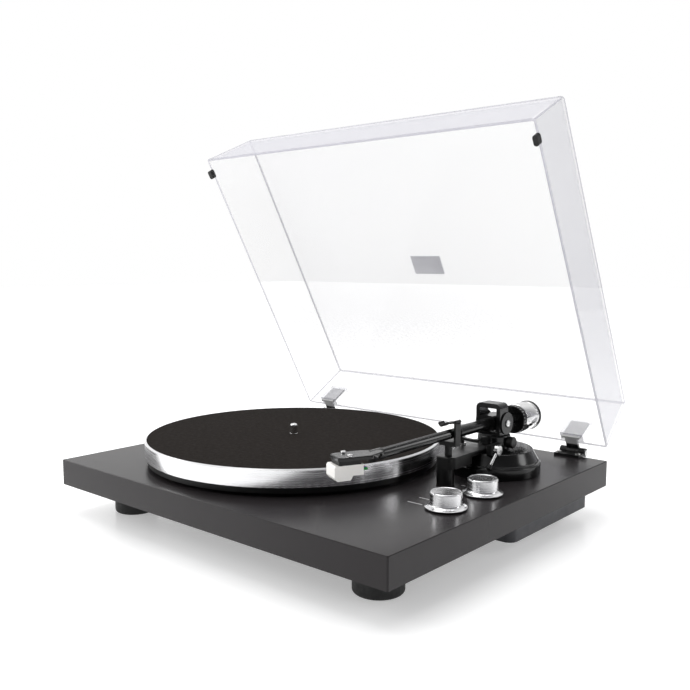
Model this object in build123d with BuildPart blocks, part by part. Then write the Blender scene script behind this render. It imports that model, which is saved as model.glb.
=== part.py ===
from build123d import *
import os
from math import acos, cos, degrees, hypot, radians, sin

# Belt-drive record player with a hinged clear dust cover, shown with the cover open.
#
# Frame: millimetres, +Z up, the floor at Z = 0, +Y towards the back and X = 0 in the middle
# of the plinth. The front face of the plinth is at Y = -210, so that the object with its open
# cover is centred on the origin.

os.makedirs("parts", exist_ok=True)

# Plinth and feet
plinth_width = 420
plinth_depth = 360
plinth_height = 25.5
plinth_front = -210
plinth_corner = 1.5
plinth_edge = 0.6
foot_height = 29
foot_radius = 20.9
foot_edge = 3
foot_spots = [(-160, -157.3), (160, -157.3), (-160, 97.3), (160, 97.3)]
plinth_bottom = foot_height
plinth_top = plinth_bottom + plinth_height
plinth_back = plinth_front + plinth_depth
plinth_middle = (plinth_front + plinth_back) / 2
cover_thickness = 3
cover_inset = 8
cover_gap = 0.3
cover_top = plinth_bottom + cover_thickness
screw_gap = 0.1

# Electronics tray under the rear right corner
tray_left = 40
tray_right = 199
tray_front = -20
tray_back = 132
tray_bottom = 10
tray_wall = 2.5
tray_corner = 9
tray_foot_gap = 2.1
tray_floor = tray_bottom + tray_wall
board_bottom = 17
board_thickness = 1.6
board_left = 56
board_right = 140
board_front = 62
board_back = 128.8
board_top = board_bottom + board_thickness
socket_height = 22.6
phono_left_x = 66
phono_right_x = 82
level_switch_x = 102
dc_inlet_x = 122
phono_radius = 4.15
phono_barrel_radius = 3.9
phono_length = 8
phono_collar = 1.4

# Platter, its bearing and the belt drive
spindle_x = -41.4
spindle_y = -45.5
platter_radius = 149.5
platter_bottom = 62.6
platter_top = 79.3
platter_wall = 7
platter_bevel = 1.3
mat_radius = 147.5
mat_thickness = 3
mat_gap = 0.2
mat_hole_gap = 0.3
skirt_radius = 147.4
skirt_bottom = 57.4
web_thickness = 4
record_pin_radius = 3.6
record_pin_top = 89.3
shaft_radius = 4
shaft_bottom = 41.05
running_gap = 0.05
fit_gap = 0.02
drive_ring_radius = 95
drive_ring_bottom = 61.5
drive_ring_wall = 5
hub_radius = 11
hub_bottom = 58.6
mat_bottom = platter_top - mat_thickness
web_bottom = mat_bottom - web_thickness
bearing_flange_radius = 19
bearing_flange_height = 3
bearing_barrel_radius = 10
bearing_barrel_bottom = 33
bearing_screw_circle = 15.2
ball_radius = 2
motor_offset = 86.3
motor_radius = 17.5
motor_height = 17
motor_top = plinth_top - 4
motor_screw_spread = 12.5
pulley_radius = 6.3
pulley_flange_radius = 8.2
pulley_bottom = 61
pulley_top = 70.5
motor_shaft_radius = 1
motor_shaft_bottom = 38
belt_thickness = 0.8
belt_width = 5
belt_gap = 0.3
belt_bottom = 63.2
motor_x = spindle_x - motor_offset
motor_y = spindle_y - motor_offset

# Selector knobs
knobs = {
    "front": (177.7, -91.9),
    "back": (178.2, -36.2),
}
knob_flange_radius = 17.5
knob_cap_radius = 13.25
knob_bottom = plinth_top + 1
knob_top = plinth_top + 14.5
knob_shaft_radius = 3
switch_size = 22
switch_height = 12
switch_top = 48

# Dust cover and its hinges, in a frame on the hinge axis. The cover frame lies level when the
# cover is closed, and is turned back by the opening angle at rest.
hinge_y = 156.5
hinge_z = 57.5
opening_angle = 60.8
cover_width = 416
cover_rim_front = -357.5
cover_rim_back = -9
cover_rim = 3
cover_height = 67
cover_draft = 5.6
cover_wall = 2.5
cover_corner = 4
cover_round = 2.2
hinge_spread = 170
hinge_width = 27
hinge_barrel_radius = 4.5
hinge_pin_radius = 2
leaf_width = 13.2
leaf_thickness = 2.6
leaf_rise = 0.1
tongue_width = 19.6
tongue_thickness = 2.4
tongue_back = -16.5
tongue_top = 26
socket_block_width = 25
socket_block_top = 28.5
socket_clearance = 0.3
socket_wall = 1.5

# Tonearm. Distances "ahead" run from the pivot towards the cartridge, along -Y at rest,
# "aside" along +X, and "above" from the level of the arm tube.
pivot_x = 141
pivot_y = 44
arm_level = 101.6
base_radius = 44.5
base_top = 65.5
base_edge = 1.2
cone_ledge_radius = 42.2
cone_ledge_top = 68
cone_top_radius = 36.5
cone_top = 77.3
pillar_radius = 15.5
pillar_top = 90
wire_hole = 4
pillar_bearing_radius = 8
pillar_bearing_height = 5
arm_shaft_radius = 3
arm_shaft_bottom = 78
yoke_half_width = 13
yoke_leg = 4
yoke_front = 12
yoke_back = -3
yoke_floor_bottom = 91
yoke_floor = 3
yoke_floor_back = 7.5
yoke_top = 121.1
yoke_arch = 4.6
ear_radius = 11
cap_thickness = 1.3
pivot_screw_radius = 1.5
pivot_screw_head = 3.4
block_half_width = 8
block_front = 14
block_back = -8
block_low = -6
block_high = 8
sleeve_radius = 5.25
sleeve_end = 65
tube_radius = 4.3
tube_end = 180
bend_ahead = 198
offset_angle = 25
collar_radius = 4.9
collar_start = 176
collar_end = 189
shell_top = 4.5
shell_thickness = 3
cartridge_screw_place = 13.8
cartridge_screw_spread = 12.7
tail_drop = 2.7
stub_radius = 4.8
stub_end = -20
tail_radius = 3
tail_end = -62
bush_radius = 5
bush_front = -33.2
bush_back = -61
dial_radius = 14
dial_front = -33
dial_back = -39
weight_radius = 14.4
weight_front = -39.3
weight_back = -64
end_ring_radius = 14.8
end_ring_back = -67

# Arm rest, cue lever and the knob on the pillar
rest_y = -30.5
rest_width = 8
rest_post_x = 135.5
rest_post_radius = 8
bridge_left = 128
bridge_right = 149
bridge_front = -39
bridge_back = 27.5
bridge_bottom = 71
bridge_step = 77.5
bridge_top = 81.5
rest_pin_x = 139
rest_pin_radius = 3.25
cradle_bottom = 91
cradle_floor = 95.1
cradle_lip = 96.4
cradle_left = 131
cradle_tab = 146.5
cradle_right = 148.5
latch_x = 147.5
latch_z = 113.2
latch_barrel_radius = 1.6
latch_pin_radius = 0.8
latch_strip = 1.6
lift_radius = 34
lift_angle = 240
lift_bar_bottom = 87.1
lift_bar_height = 2.5
lift_plunger_radius = 2
lift_cylinder_radius = 3.6
cue_x = 161
cue_y = 14
cue_z = 82
cue_hub_radius = 4.5
cue_hub_width = 4
cue_rod_radius = 1.3
cue_rod_length = 17
cue_angle = 43
side_knob_radius = 5.5
side_knob_z = 84
side_knob_length = 6


def write_node(builder, name):
    """Label a finished piece and write it as its own STEP file."""
    builder.part.label = name
    export_step(builder.part, f"parts/{name}.step")


def across_y(x, z, y):
    """A plane across Y whose extrusions run towards the back, with its own Y up."""
    return Plane(origin=(x, y, z), x_dir=(-1, 0, 0), z_dir=(0, 1, 0))


def across_x(y, z, x):
    """A plane across X whose extrusions run towards the right, with its own X along Y."""
    return Plane(origin=(x, y, z), x_dir=(0, 1, 0), z_dir=(1, 0, 0))


def rod(plane, radius, length):
    """A round bar from a plane along its normal, added to the part being built."""
    with BuildSketch(plane) as section:
        Circle(radius)
    extrude(section.sketch, amount=length)


def bore(plane, radius, length):
    """A round hole from a plane along its normal, cut from the part being built."""
    with BuildSketch(plane) as section:
        Circle(radius)
    extrude(section.sketch, amount=length, mode=Mode.SUBTRACT)


def level(x, y, z):
    """A level plane at a point."""
    return Plane(origin=(x, y, z))


def block(x_low, x_high, y_low, y_high, z_low, z_high, mode=Mode.ADD, round_corners=0.0):
    """A box between limits, with optional rounded upright corners."""
    with BuildSketch(level((x_low + x_high) / 2, (y_low + y_high) / 2, z_low)) as section:
        if round_corners > 0:
            RectangleRounded(x_high - x_low, y_high - y_low, round_corners)
        else:
            Rectangle(x_high - x_low, y_high - y_low)
    extrude(section.sketch, amount=z_high - z_low, mode=mode)


# ---------------------------------------------------------------------------------------------
# Plinth, bottom cover and feet
# ---------------------------------------------------------------------------------------------

cover_screw_spots = [
    (x, y) for x in (-190, 0, 190) for y in (plinth_front + 20, plinth_back - 20)
] + [(-190, plinth_middle)]
tray_screw_spots = [(48, -12), (191, -12), (48, 112), (191, 124)]
bearing_screw_spots = [
    (
        spindle_x + bearing_screw_circle * cos(radians(angle)),
        spindle_y + bearing_screw_circle * sin(radians(angle)),
    )
    for angle in (90, 210, 330)
]
motor_screw_spots = [(motor_x - motor_screw_spread, motor_y), (motor_x + motor_screw_spread, motor_y)]
small_screw_radius = 1.5
foot_screw_radius = 2
foot_screw_seat = 12
switch_pocket = switch_size + 4
hinge_screw_spots = [
    (side * (hinge_spread + end * 10.3), plinth_back - 5.5) for side in (-1, 1) for end in (-1, 1)
]

with BuildPart() as plinth:
    with BuildSketch(Plane.XY.offset(plinth_bottom)):
        with Locations((0, plinth_middle)):
            RectangleRounded(plinth_width, plinth_depth, plinth_corner)
    extrude(amount=plinth_height)
    chamfer(plinth.faces().sort_by(Axis.Z)[-1].edges(), length=plinth_edge)
    # Rebate for the bottom cover
    block(
        -plinth_width / 2 + cover_inset,
        plinth_width / 2 - cover_inset,
        plinth_front + cover_inset,
        plinth_back - cover_inset,
        plinth_bottom,
        cover_top,
        mode=Mode.SUBTRACT,
    )
    # Pockets routed from below for the motor, the bearing, the two switches and the arm wires
    bore(level(motor_x, motor_y, cover_top), motor_radius + 1, motor_top - cover_top)
    bore(level(motor_x, motor_y, motor_top), 6, plinth_height)
    bore(level(spindle_x, spindle_y, cover_top), 14, 10)
    bore(level(spindle_x, spindle_y, cover_top), bearing_barrel_radius + screw_gap, plinth_height)
    for knob_x, knob_y in knobs.values():
        block(
            knob_x - switch_pocket / 2,
            knob_x + switch_pocket / 2,
            knob_y - switch_pocket / 2,
            knob_y + switch_pocket / 2,
            cover_top,
            switch_top,
            mode=Mode.SUBTRACT,
        )
        bore(level(knob_x, knob_y, switch_top), 5, plinth_height)
    bore(level(pivot_x, pivot_y, cover_top), 12, motor_top - cover_top)
    bore(level(pivot_x, pivot_y, motor_top), wire_hole, plinth_height)
    # Screw holes
    for x, y in cover_screw_spots + tray_screw_spots:
        bore(level(x, y, cover_top), small_screw_radius + screw_gap, 12)
    for x, y in foot_spots:
        bore(level(x, y, cover_top), foot_screw_radius + screw_gap, 14)
    for x, y in motor_screw_spots:
        bore(level(x, y, motor_top), small_screw_radius + screw_gap, plinth_height)
    for x, y in bearing_screw_spots + hinge_screw_spots:
        bore(level(x, y, plinth_top - 12), small_screw_radius + screw_gap, plinth_height)
write_node(plinth, "plinth")

with BuildPart() as bottom_cover:
    block(
        -plinth_width / 2 + cover_inset + cover_gap,
        plinth_width / 2 - cover_inset - cover_gap,
        plinth_front + cover_inset + cover_gap,
        plinth_back - cover_inset - cover_gap,
        plinth_bottom,
        cover_top,
    )
    for x, y in cover_screw_spots:
        bore(level(x, y, plinth_bottom), 3.2, 1.6)
        bore(level(x, y, plinth_bottom), small_screw_radius + screw_gap, cover_thickness)
    for x, y in tray_screw_spots:
        bore(level(x, y, plinth_bottom), small_screw_radius + screw_gap, cover_thickness)
    for x, y in foot_spots:
        bore(level(x, y, plinth_bottom), foot_screw_radius + screw_gap, cover_thickness)
    # Opening that the leads pass through into the tray
    block(60, 100, 0, 30, plinth_bottom, cover_top, mode=Mode.SUBTRACT, round_corners=4)
write_node(bottom_cover, "bottom_cover")

with BuildPart() as feet:
    for x, y in foot_spots:
        rod(level(x, y, 0), foot_radius, foot_height)
    fillet(feet.edges().group_by(Axis.Z)[0], radius=foot_edge)
    chamfer(feet.edges().group_by(Axis.Z)[-1], length=1)
    for x, y in foot_spots:
        bore(level(x, y, 0), 5, foot_screw_seat)
        bore(level(x, y, 0), foot_screw_radius + screw_gap, foot_height)
write_node(feet, "feet")

with BuildPart() as bottom_screws:
    for x, y in cover_screw_spots:
        rod(level(x, y, plinth_bottom + 0.1), 3, 1.5)
        rod(level(x, y, plinth_bottom + 1.5), small_screw_radius, 11)
    for x, y in foot_spots:
        rod(level(x, y, foot_screw_seat - 2.5), 4, 2.5)
        rod(level(x, y, foot_screw_seat), foot_screw_radius, 32)
    for x, y in tray_screw_spots:
        rod(level(x, y, tray_bottom + 0.3), 3, 1.7)
        rod(level(x, y, tray_bottom + 1.9), small_screw_radius, 28)
write_node(bottom_screws, "bottom_screws")

# ---------------------------------------------------------------------------------------------
# Electronics tray, board and sockets
# ---------------------------------------------------------------------------------------------

tray_foot_x, tray_foot_y = foot_spots[-1]
stand_off_spots = [
    (x, y) for x in (board_left + 4, board_right - 18) for y in (board_front + 4, board_back - 30)
]


def tray_outline(margin):
    """The tray's outline in plan, moved inwards by a margin, with the foot's well cut out."""
    with Locations(((tray_left + tray_right) / 2, (tray_front + tray_back) / 2)):
        RectangleRounded(
            tray_right - tray_left - 2 * margin,
            tray_back - tray_front - 2 * margin,
            tray_corner - margin,
        )
    with Locations((tray_foot_x, tray_foot_y)):
        Circle(foot_radius + tray_foot_gap + margin, mode=Mode.SUBTRACT)


with BuildPart() as electronics_tray:
    with BuildSketch(Plane.XY.offset(tray_bottom)):
        tray_outline(0)
    extrude(amount=plinth_bottom - tray_bottom)
    with BuildSketch(Plane.XY.offset(tray_floor)):
        tray_outline(tray_wall)
    extrude(amount=plinth_bottom - tray_floor, mode=Mode.SUBTRACT)
    for x, y in tray_screw_spots:
        rod(level(x, y, tray_floor), 4.2, plinth_bottom - tray_floor)
        bore(level(x, y, tray_bottom), 3.2, 2)
        bore(level(x, y, tray_bottom), small_screw_radius + screw_gap, 30)
    for x, y in stand_off_spots:
        rod(level(x, y, tray_floor), 3, board_bottom - tray_floor)
        bore(level(x, y, tray_floor), 1.25, 10)
    # Openings for the sockets in the back wall
    wall_y = tray_back - tray_wall - 1
    for x in (phono_left_x, phono_right_x):
        bore(across_y(x, socket_height, wall_y), phono_radius + 0.15, tray_wall + 2)
    bore(across_y(dc_inlet_x, socket_height, wall_y), 4.3, tray_wall + 2)
    block(
        level_switch_x - 4.5,
        level_switch_x + 4.5,
        wall_y,
        tray_back + 1,
        socket_height - 1.8,
        socket_height + 1.8,
        mode=Mode.SUBTRACT,
    )
write_node(electronics_tray, "electronics_tray")

with BuildPart() as main_board:
    block(board_left, board_right - 10, board_front, board_back, board_bottom, board_top)
    for x, y in stand_off_spots:
        bore(level(x, y, board_bottom), 1.3, board_thickness)
write_node(main_board, "main_board")

with BuildPart() as board_components:
    # Upright capacitors, flat chips, a relay, the body of the level switch and the board's screws
    for x, y in ((70, 78), (82, 78), (94, 78), (112, 84)):
        rod(level(x, y, board_top), 3.2, 8.5)
    for x, y in ((74, 94), (92, 94)):
        block(x - 5, x + 5, y - 3.2, y + 3.2, board_top, board_top + 2.4)
    block(104, 120, 104, 112, board_top, board_top + 8)
    block(
        level_switch_x - 6,
        level_switch_x + 6,
        board_back - 6,
        board_back,
        board_top,
        socket_height + 3.5,
    )
    block(
        level_switch_x - 4.2,
        level_switch_x + 4.2,
        board_back - 3.2,
        board_back,
        socket_height - 1.6,
        socket_height + 1.6,
        mode=Mode.SUBTRACT,
    )
    for x, y in stand_off_spots:
        rod(level(x, y, board_top), 2.5, 1.5)
        rod(level(x, y, tray_floor + 1), 1.2, board_top - tray_floor)
write_node(board_components, "board_components")

with BuildPart() as phono_sockets:
    # A narrower barrel runs through the wall and the collar, and the contact starts at its face
    contact_start = tray_back + phono_collar
    for x in (phono_left_x, phono_right_x):
        rod(across_y(x, socket_height, board_back), phono_barrel_radius, contact_start - board_back)
        rod(across_y(x, socket_height, contact_start), phono_radius, phono_length - phono_collar)
    chamfer(phono_sockets.edges().group_by(Axis.Y)[-1], length=0.4)
    for x in (phono_left_x, phono_right_x):
        block(x - 5, x + 5, board_back - 12, board_back, board_top, socket_height + 4.6)
        bore(across_y(x, socket_height, tray_back), 1.6, phono_length)
write_node(phono_sockets, "phono_sockets")

with BuildPart() as socket_collars:
    for x in (phono_left_x, phono_right_x):
        rod(across_y(x, socket_height, tray_back), 5.8, phono_collar)
        bore(across_y(x, socket_height, tray_back), phono_barrel_radius + fit_gap, phono_collar)
write_node(socket_collars, "socket_collars")

with BuildPart() as dc_inlet:
    block(dc_inlet_x - 5, dc_inlet_x + 5, board_back - 11, board_back, board_top, socket_height + 4.8)
    rod(across_y(dc_inlet_x, socket_height, board_back), 4.1, tray_back + 0.6 - board_back)
    bore(across_y(dc_inlet_x, socket_height, board_back - 7), 2.75, 20)
    rod(across_y(dc_inlet_x, socket_height, board_back - 8), 1, 9)
write_node(dc_inlet, "dc_inlet")

with BuildPart() as level_slider:
    block(
        level_switch_x - 3.8,
        level_switch_x - 0.4,
        board_back - 2.8,
        tray_back + 2,
        socket_height - 1.3,
        socket_height + 1.3,
    )
write_node(level_slider, "level_slider")

# ---------------------------------------------------------------------------------------------
# Bearing, motor and belt
# ---------------------------------------------------------------------------------------------

bearing_bore_bottom = shaft_bottom - running_gap - 2 * ball_radius

with BuildPart() as bearing_housing:
    rod(
        level(spindle_x, spindle_y, bearing_barrel_bottom),
        bearing_barrel_radius,
        plinth_top - bearing_barrel_bottom,
    )
    rod(level(spindle_x, spindle_y, plinth_top), bearing_flange_radius, bearing_flange_height)
    bore(level(spindle_x, spindle_y, bearing_bore_bottom), shaft_radius + running_gap, 40)
    for x, y in bearing_screw_spots:
        bore(level(x, y, plinth_top), small_screw_radius + screw_gap, bearing_flange_height)
write_node(bearing_housing, "bearing_housing")

with BuildPart() as thrust_ball:
    with Locations((spindle_x, spindle_y, bearing_bore_bottom + ball_radius)):
        Sphere(ball_radius)
write_node(thrust_ball, "thrust_ball")

with BuildPart() as motor:
    rod(level(motor_x, motor_y, motor_top - motor_height), motor_radius, motor_height)
    fillet(motor.edges().group_by(Axis.Z)[0], radius=2)
    rod(level(motor_x, motor_y, motor_top), 4.5, 3)
    bore(level(motor_x, motor_y, motor_shaft_bottom - 1), motor_shaft_radius + running_gap, 30)
    for x, y in motor_screw_spots:
        bore(level(x, y, motor_top - 5), small_screw_radius + screw_gap, 5)
write_node(motor, "motor")

with BuildPart() as motor_pulley:
    rod(level(motor_x, motor_y, pulley_bottom), pulley_flange_radius, 1)
    rod(level(motor_x, motor_y, pulley_bottom), pulley_radius, pulley_top - pulley_bottom)
    rod(level(motor_x, motor_y, pulley_top - 1), pulley_flange_radius, 1)
    rod(level(motor_x, motor_y, motor_shaft_bottom), motor_shaft_radius, pulley_top - motor_shaft_bottom)
write_node(motor_pulley, "motor_pulley")


def belt_outline(large, small, mode):
    """The area inside a belt pulled tight round the drive ring and the pulley."""
    span = hypot(motor_x - spindle_x, motor_y - spindle_y)
    lean = degrees(acos((large - small) / span))
    towards_pulley = 225
    corners = []
    for side in (1, -1):
        angle = radians(towards_pulley + side * lean)
        corners.append((spindle_x + large * cos(angle), spindle_y + large * sin(angle)))
        corners.append((motor_x + small * cos(angle), motor_y + small * sin(angle)))
    ring_high, pulley_high, ring_low, pulley_low = corners
    far_ring = (
        spindle_x - large * cos(radians(towards_pulley)),
        spindle_y - large * sin(radians(towards_pulley)),
    )
    far_pulley = (
        motor_x + small * cos(radians(towards_pulley)),
        motor_y + small * sin(radians(towards_pulley)),
    )
    with BuildLine() as outline:
        Line(ring_high, pulley_high)
        ThreePointArc(pulley_high, far_pulley, pulley_low)
        Line(pulley_low, ring_low)
        ThreePointArc(ring_low, far_ring, ring_high)
    make_face(outline.edges(), mode=mode)


with BuildPart() as drive_belt:
    with BuildSketch(Plane.XY.offset(belt_bottom)):
        belt_outline(
            drive_ring_radius + belt_gap + belt_thickness,
            pulley_radius + belt_gap + belt_thickness,
            Mode.ADD,
        )
        belt_outline(drive_ring_radius + belt_gap, pulley_radius + belt_gap, Mode.SUBTRACT)
    extrude(amount=belt_width)
write_node(drive_belt, "drive_belt")

# ---------------------------------------------------------------------------------------------
# Platter
# ---------------------------------------------------------------------------------------------

spindle_front = Plane(origin=(spindle_x, spindle_y, 0), x_dir=(1, 0, 0), z_dir=(0, -1, 0))
spindle_axis = Axis((spindle_x, spindle_y, 0), (0, 0, 1))

with BuildPart() as platter:
    with BuildSketch(spindle_front):
        with BuildLine():
            Polyline(
                (shaft_radius + running_gap, web_bottom),
                (platter_radius - platter_wall, web_bottom),
                (platter_radius - platter_wall, platter_bottom),
                (platter_radius - 0.5, platter_bottom),
                (platter_radius, platter_bottom + 0.5),
                (platter_radius, platter_top - platter_bevel),
                (platter_radius - platter_bevel, platter_top),
                (mat_radius + mat_gap, platter_top),
                (mat_radius + mat_gap, mat_bottom),
                (shaft_radius + running_gap, mat_bottom),
                close=True,
            )
        make_face()
    revolve(axis=spindle_axis)
write_node(platter, "platter")

with BuildPart() as platter_skirt:
    with BuildSketch(level(spindle_x, spindle_y, skirt_bottom)):
        Circle(skirt_radius)
        Circle(platter_radius - platter_wall, mode=Mode.SUBTRACT)
    extrude(amount=platter_bottom - skirt_bottom)
write_node(platter_skirt, "platter_skirt")

with BuildPart() as platter_mat:
    rod(level(spindle_x, spindle_y, mat_bottom), mat_radius, mat_thickness)
    chamfer(platter_mat.edges().group_by(Axis.Z)[-1], length=0.6)
    bore(level(spindle_x, spindle_y, mat_bottom), shaft_radius + mat_hole_gap, mat_thickness)
write_node(platter_mat, "platter_mat")

with BuildPart() as drive_hub:
    rod(level(spindle_x, spindle_y, web_bottom - 4), drive_ring_radius, 4)
    with BuildSketch(level(spindle_x, spindle_y, drive_ring_bottom)):
        Circle(drive_ring_radius)
        Circle(drive_ring_radius - drive_ring_wall, mode=Mode.SUBTRACT)
    extrude(amount=web_bottom - drive_ring_bottom)
    rod(level(spindle_x, spindle_y, hub_bottom), hub_radius, web_bottom - hub_bottom)
    bore(level(spindle_x, spindle_y, hub_bottom), shaft_radius + fit_gap, 30)
write_node(drive_hub, "drive_hub")

with BuildPart() as record_spindle:
    # The shaft ends in a shoulder level with the mat, and the record's pin stands on it
    rod(level(spindle_x, spindle_y, shaft_bottom), shaft_radius, platter_top - shaft_bottom)
    rod(level(spindle_x, spindle_y, platter_top), record_pin_radius, record_pin_top - platter_top)
    fillet(record_spindle.edges().group_by(Axis.Z)[-1], radius=1.8)
write_node(record_spindle, "record_spindle")

# ---------------------------------------------------------------------------------------------
# Selector knobs and the printed marks beside them
# ---------------------------------------------------------------------------------------------

for knob_name, (knob_x, knob_y) in knobs.items():
    with BuildPart() as knob:
        with BuildSketch(Plane(origin=(knob_x, knob_y, 0), x_dir=(1, 0, 0), z_dir=(0, -1, 0))):
            with BuildLine():
                Line((0, knob_bottom), (knob_flange_radius - 0.4, knob_bottom))
                Line((knob_flange_radius - 0.4, knob_bottom), (knob_flange_radius, knob_bottom + 0.4))
                Line((knob_flange_radius, knob_bottom + 0.4), (knob_flange_radius, knob_bottom + 1))
                flare = (knob_cap_radius, knob_bottom + 3.6)
                TangentArc(
                    (knob_flange_radius, knob_bottom + 1),
                    flare,
                    tangent=(-1, 0.12),
                )
                Line(flare, (knob_cap_radius, knob_top - 0.8))
                Line((knob_cap_radius, knob_top - 0.8), (knob_cap_radius - 0.8, knob_top))
                Line((knob_cap_radius - 0.8, knob_top), (0, knob_top))
                Line((0, knob_top), (0, knob_bottom))
            make_face()
        revolve(axis=Axis((knob_x, knob_y, 0), (0, 0, 1)))
        rod(level(knob_x, knob_y, switch_top - 8), knob_shaft_radius, knob_bottom + 9 - switch_top)
    write_node(knob, f"{knob_name}_knob")

with BuildPart() as rotary_switches:
    for knob_x, knob_y in knobs.values():
        block(
            knob_x - switch_size / 2,
            knob_x + switch_size / 2,
            knob_y - switch_size / 2,
            knob_y + switch_size / 2,
            switch_top - switch_height,
            switch_top,
        )
        rod(level(knob_x, knob_y, switch_top), 4.6, plinth_top - switch_top)
        bore(level(knob_x, knob_y, switch_top - 9), knob_shaft_radius + running_gap, 30)
write_node(rotary_switches, "rotary_switches")

with BuildPart() as index_marks:
    for x_low, x_high, y in ((142.5, 157.2, -96.3), (143, 153, -80.5), (149, 153, -24.3)):
        block(x_low, x_high, y - 0.35, y + 0.35, plinth_top, plinth_top + 0.12)
write_node(index_marks, "index_marks")

# ---------------------------------------------------------------------------------------------
# Dust cover and hinges
# ---------------------------------------------------------------------------------------------

lean = radians(opening_angle)
cover_frame = Plane(
    origin=(0, hinge_y, hinge_z),
    x_dir=(1, 0, 0),
    z_dir=(0, sin(lean), cos(lean)),
)
cover_depth = cover_rim_back - cover_rim_front
cover_middle = (cover_rim_back + cover_rim_front) / 2


def cover_loft(inset, rise_from, rise_to, mode):
    """A drafted block between two heights of the cover frame, inset from the outer walls."""
    sections = []
    for rise in (rise_from, rise_to):
        slope = cover_draft * (rise - cover_rim) / cover_height
        with BuildSketch(cover_frame.offset(rise)) as section:
            with Locations((0, cover_middle)):
                RectangleRounded(
                    cover_width - 2 * (inset + slope),
                    cover_depth - 2 * (inset + slope),
                    cover_corner - inset,
                )
        sections.append(section.sketch)
    loft(sections, mode=mode)


def cover_block(x_low, x_high, y_low, y_high, rise_from, rise_to, mode=Mode.ADD):
    """A box given in the cover frame."""
    with BuildSketch(cover_frame.offset(rise_from)) as section:
        with Locations(((x_low + x_high) / 2, (y_low + y_high) / 2)):
            Rectangle(x_high - x_low, y_high - y_low)
    extrude(section.sketch, amount=rise_to - rise_from, mode=mode)


cover_top_rise = cover_rim + cover_height
tongue_front = tongue_back - tongue_thickness

with BuildPart() as dust_cover:
    cover_loft(0, cover_rim, cover_top_rise, Mode.ADD)
    top_face = dust_cover.faces().sort_by(Axis(cover_frame.origin, cover_frame.z_dir))[-1]
    fillet(top_face.edges(), radius=cover_round)
    cover_loft(cover_wall, cover_rim, cover_top_rise - cover_wall, Mode.SUBTRACT)
    # Sockets on the back wall that the hinge tongues slide into
    for side in (-1, 1):
        middle = side * hinge_spread
        cover_block(
            middle - socket_block_width / 2,
            middle + socket_block_width / 2,
            tongue_front - socket_clearance - socket_wall,
            cover_rim_back - 2.4,
            cover_rim,
            socket_block_top,
        )
        cover_block(
            middle - tongue_width / 2 - socket_clearance,
            middle + tongue_width / 2 + socket_clearance,
            tongue_front - socket_clearance,
            tongue_back + socket_clearance,
            cover_rim,
            socket_block_top - socket_wall,
            mode=Mode.SUBTRACT,
        )
write_node(dust_cover, "dust_cover")

with BuildPart() as cover_badge:
    cover_block(-20, 20, cover_rim_back - 184.5, cover_rim_back - 161.5, cover_top_rise, cover_top_rise + 0.8)
write_node(cover_badge, "cover_badge")

buffer_place = cover_rim_front + 17.5
with BuildPart() as cover_buffers:
    for side in (-1, 1):
        with BuildSketch(cover_frame.offset(-2.8)):
            with Locations((side * 206.5, buffer_place)):
                RectangleRounded(5, 9.5, 2.2)
        extrude(amount=cover_rim + 2.8)
write_node(cover_buffers, "cover_buffers")

hinge_middles = (-hinge_spread, hinge_spread)
knuckle = (hinge_width - leaf_width) / 2 - 0.3

with BuildPart() as hinge_bases:
    for middle in hinge_middles:
        left_end = middle - hinge_width / 2
        block(
            left_end,
            left_end + hinge_width,
            plinth_back - 10.5,
            hinge_y - hinge_barrel_radius - 0.2,
            plinth_top,
            hinge_z - 0.3,
        )
        for start in (left_end, left_end + hinge_width - knuckle):
            block(start, start + knuckle, plinth_back - 2, hinge_y, plinth_top, hinge_z)
            rod(across_x(hinge_y, hinge_z, start), hinge_barrel_radius, knuckle)
        bore(across_x(hinge_y, hinge_z, left_end), hinge_pin_radius + fit_gap, hinge_width)
    for x, y in hinge_screw_spots:
        bore(level(x, y, plinth_top), small_screw_radius + screw_gap, 10)
write_node(hinge_bases, "hinge_bases")

with BuildPart() as hinge_leaves:
    for middle in hinge_middles:
        leaf_left = middle - leaf_width / 2
        rod(across_x(hinge_y, hinge_z, leaf_left), hinge_barrel_radius - 0.2, leaf_width)
        cover_block(
            leaf_left,
            leaf_left + leaf_width,
            tongue_front,
            0,
            leaf_rise,
            leaf_rise + leaf_thickness,
        )
        cover_block(
            middle - tongue_width / 2,
            middle + tongue_width / 2,
            tongue_front,
            tongue_back,
            leaf_rise,
            tongue_top,
        )
        bore(across_x(hinge_y, hinge_z, leaf_left - 1), hinge_pin_radius + running_gap, leaf_width + 2)
write_node(hinge_leaves, "hinge_leaves")

with BuildPart() as hinge_pins:
    for middle in hinge_middles:
        left_end = middle - hinge_width / 2
        rod(across_x(hinge_y, hinge_z, left_end - 0.8), hinge_pin_radius + 1, 0.8)
        rod(across_x(hinge_y, hinge_z, left_end), hinge_pin_radius, hinge_width)
        rod(across_x(hinge_y, hinge_z, left_end + hinge_width), hinge_pin_radius + 1, 0.8)
write_node(hinge_pins, "hinge_pins")

hinge_screw_seat = hinge_z - 0.3
bearing_screw_seat = plinth_top + bearing_flange_height

with BuildPart() as deck_screws:
    for spots, seat, head_radius, reach in (
        (hinge_screw_spots, hinge_screw_seat, 2.6, 12),
        (bearing_screw_spots, bearing_screw_seat, 2.6, 12),
        (motor_screw_spots, plinth_top, 2.8, 8),
    ):
        for x, y in spots:
            rod(level(x, y, seat), head_radius, 1.3)
            rod(level(x, y, seat - reach), small_screw_radius, reach + 0.5)
write_node(deck_screws, "deck_screws")

# ---------------------------------------------------------------------------------------------
# Tonearm base and pillar
# ---------------------------------------------------------------------------------------------

pivot_front = Plane(origin=(pivot_x, pivot_y, 0), x_dir=(1, 0, 0), z_dir=(0, -1, 0))
pivot_axis = Axis((pivot_x, pivot_y, 0), (0, 0, 1))

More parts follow.
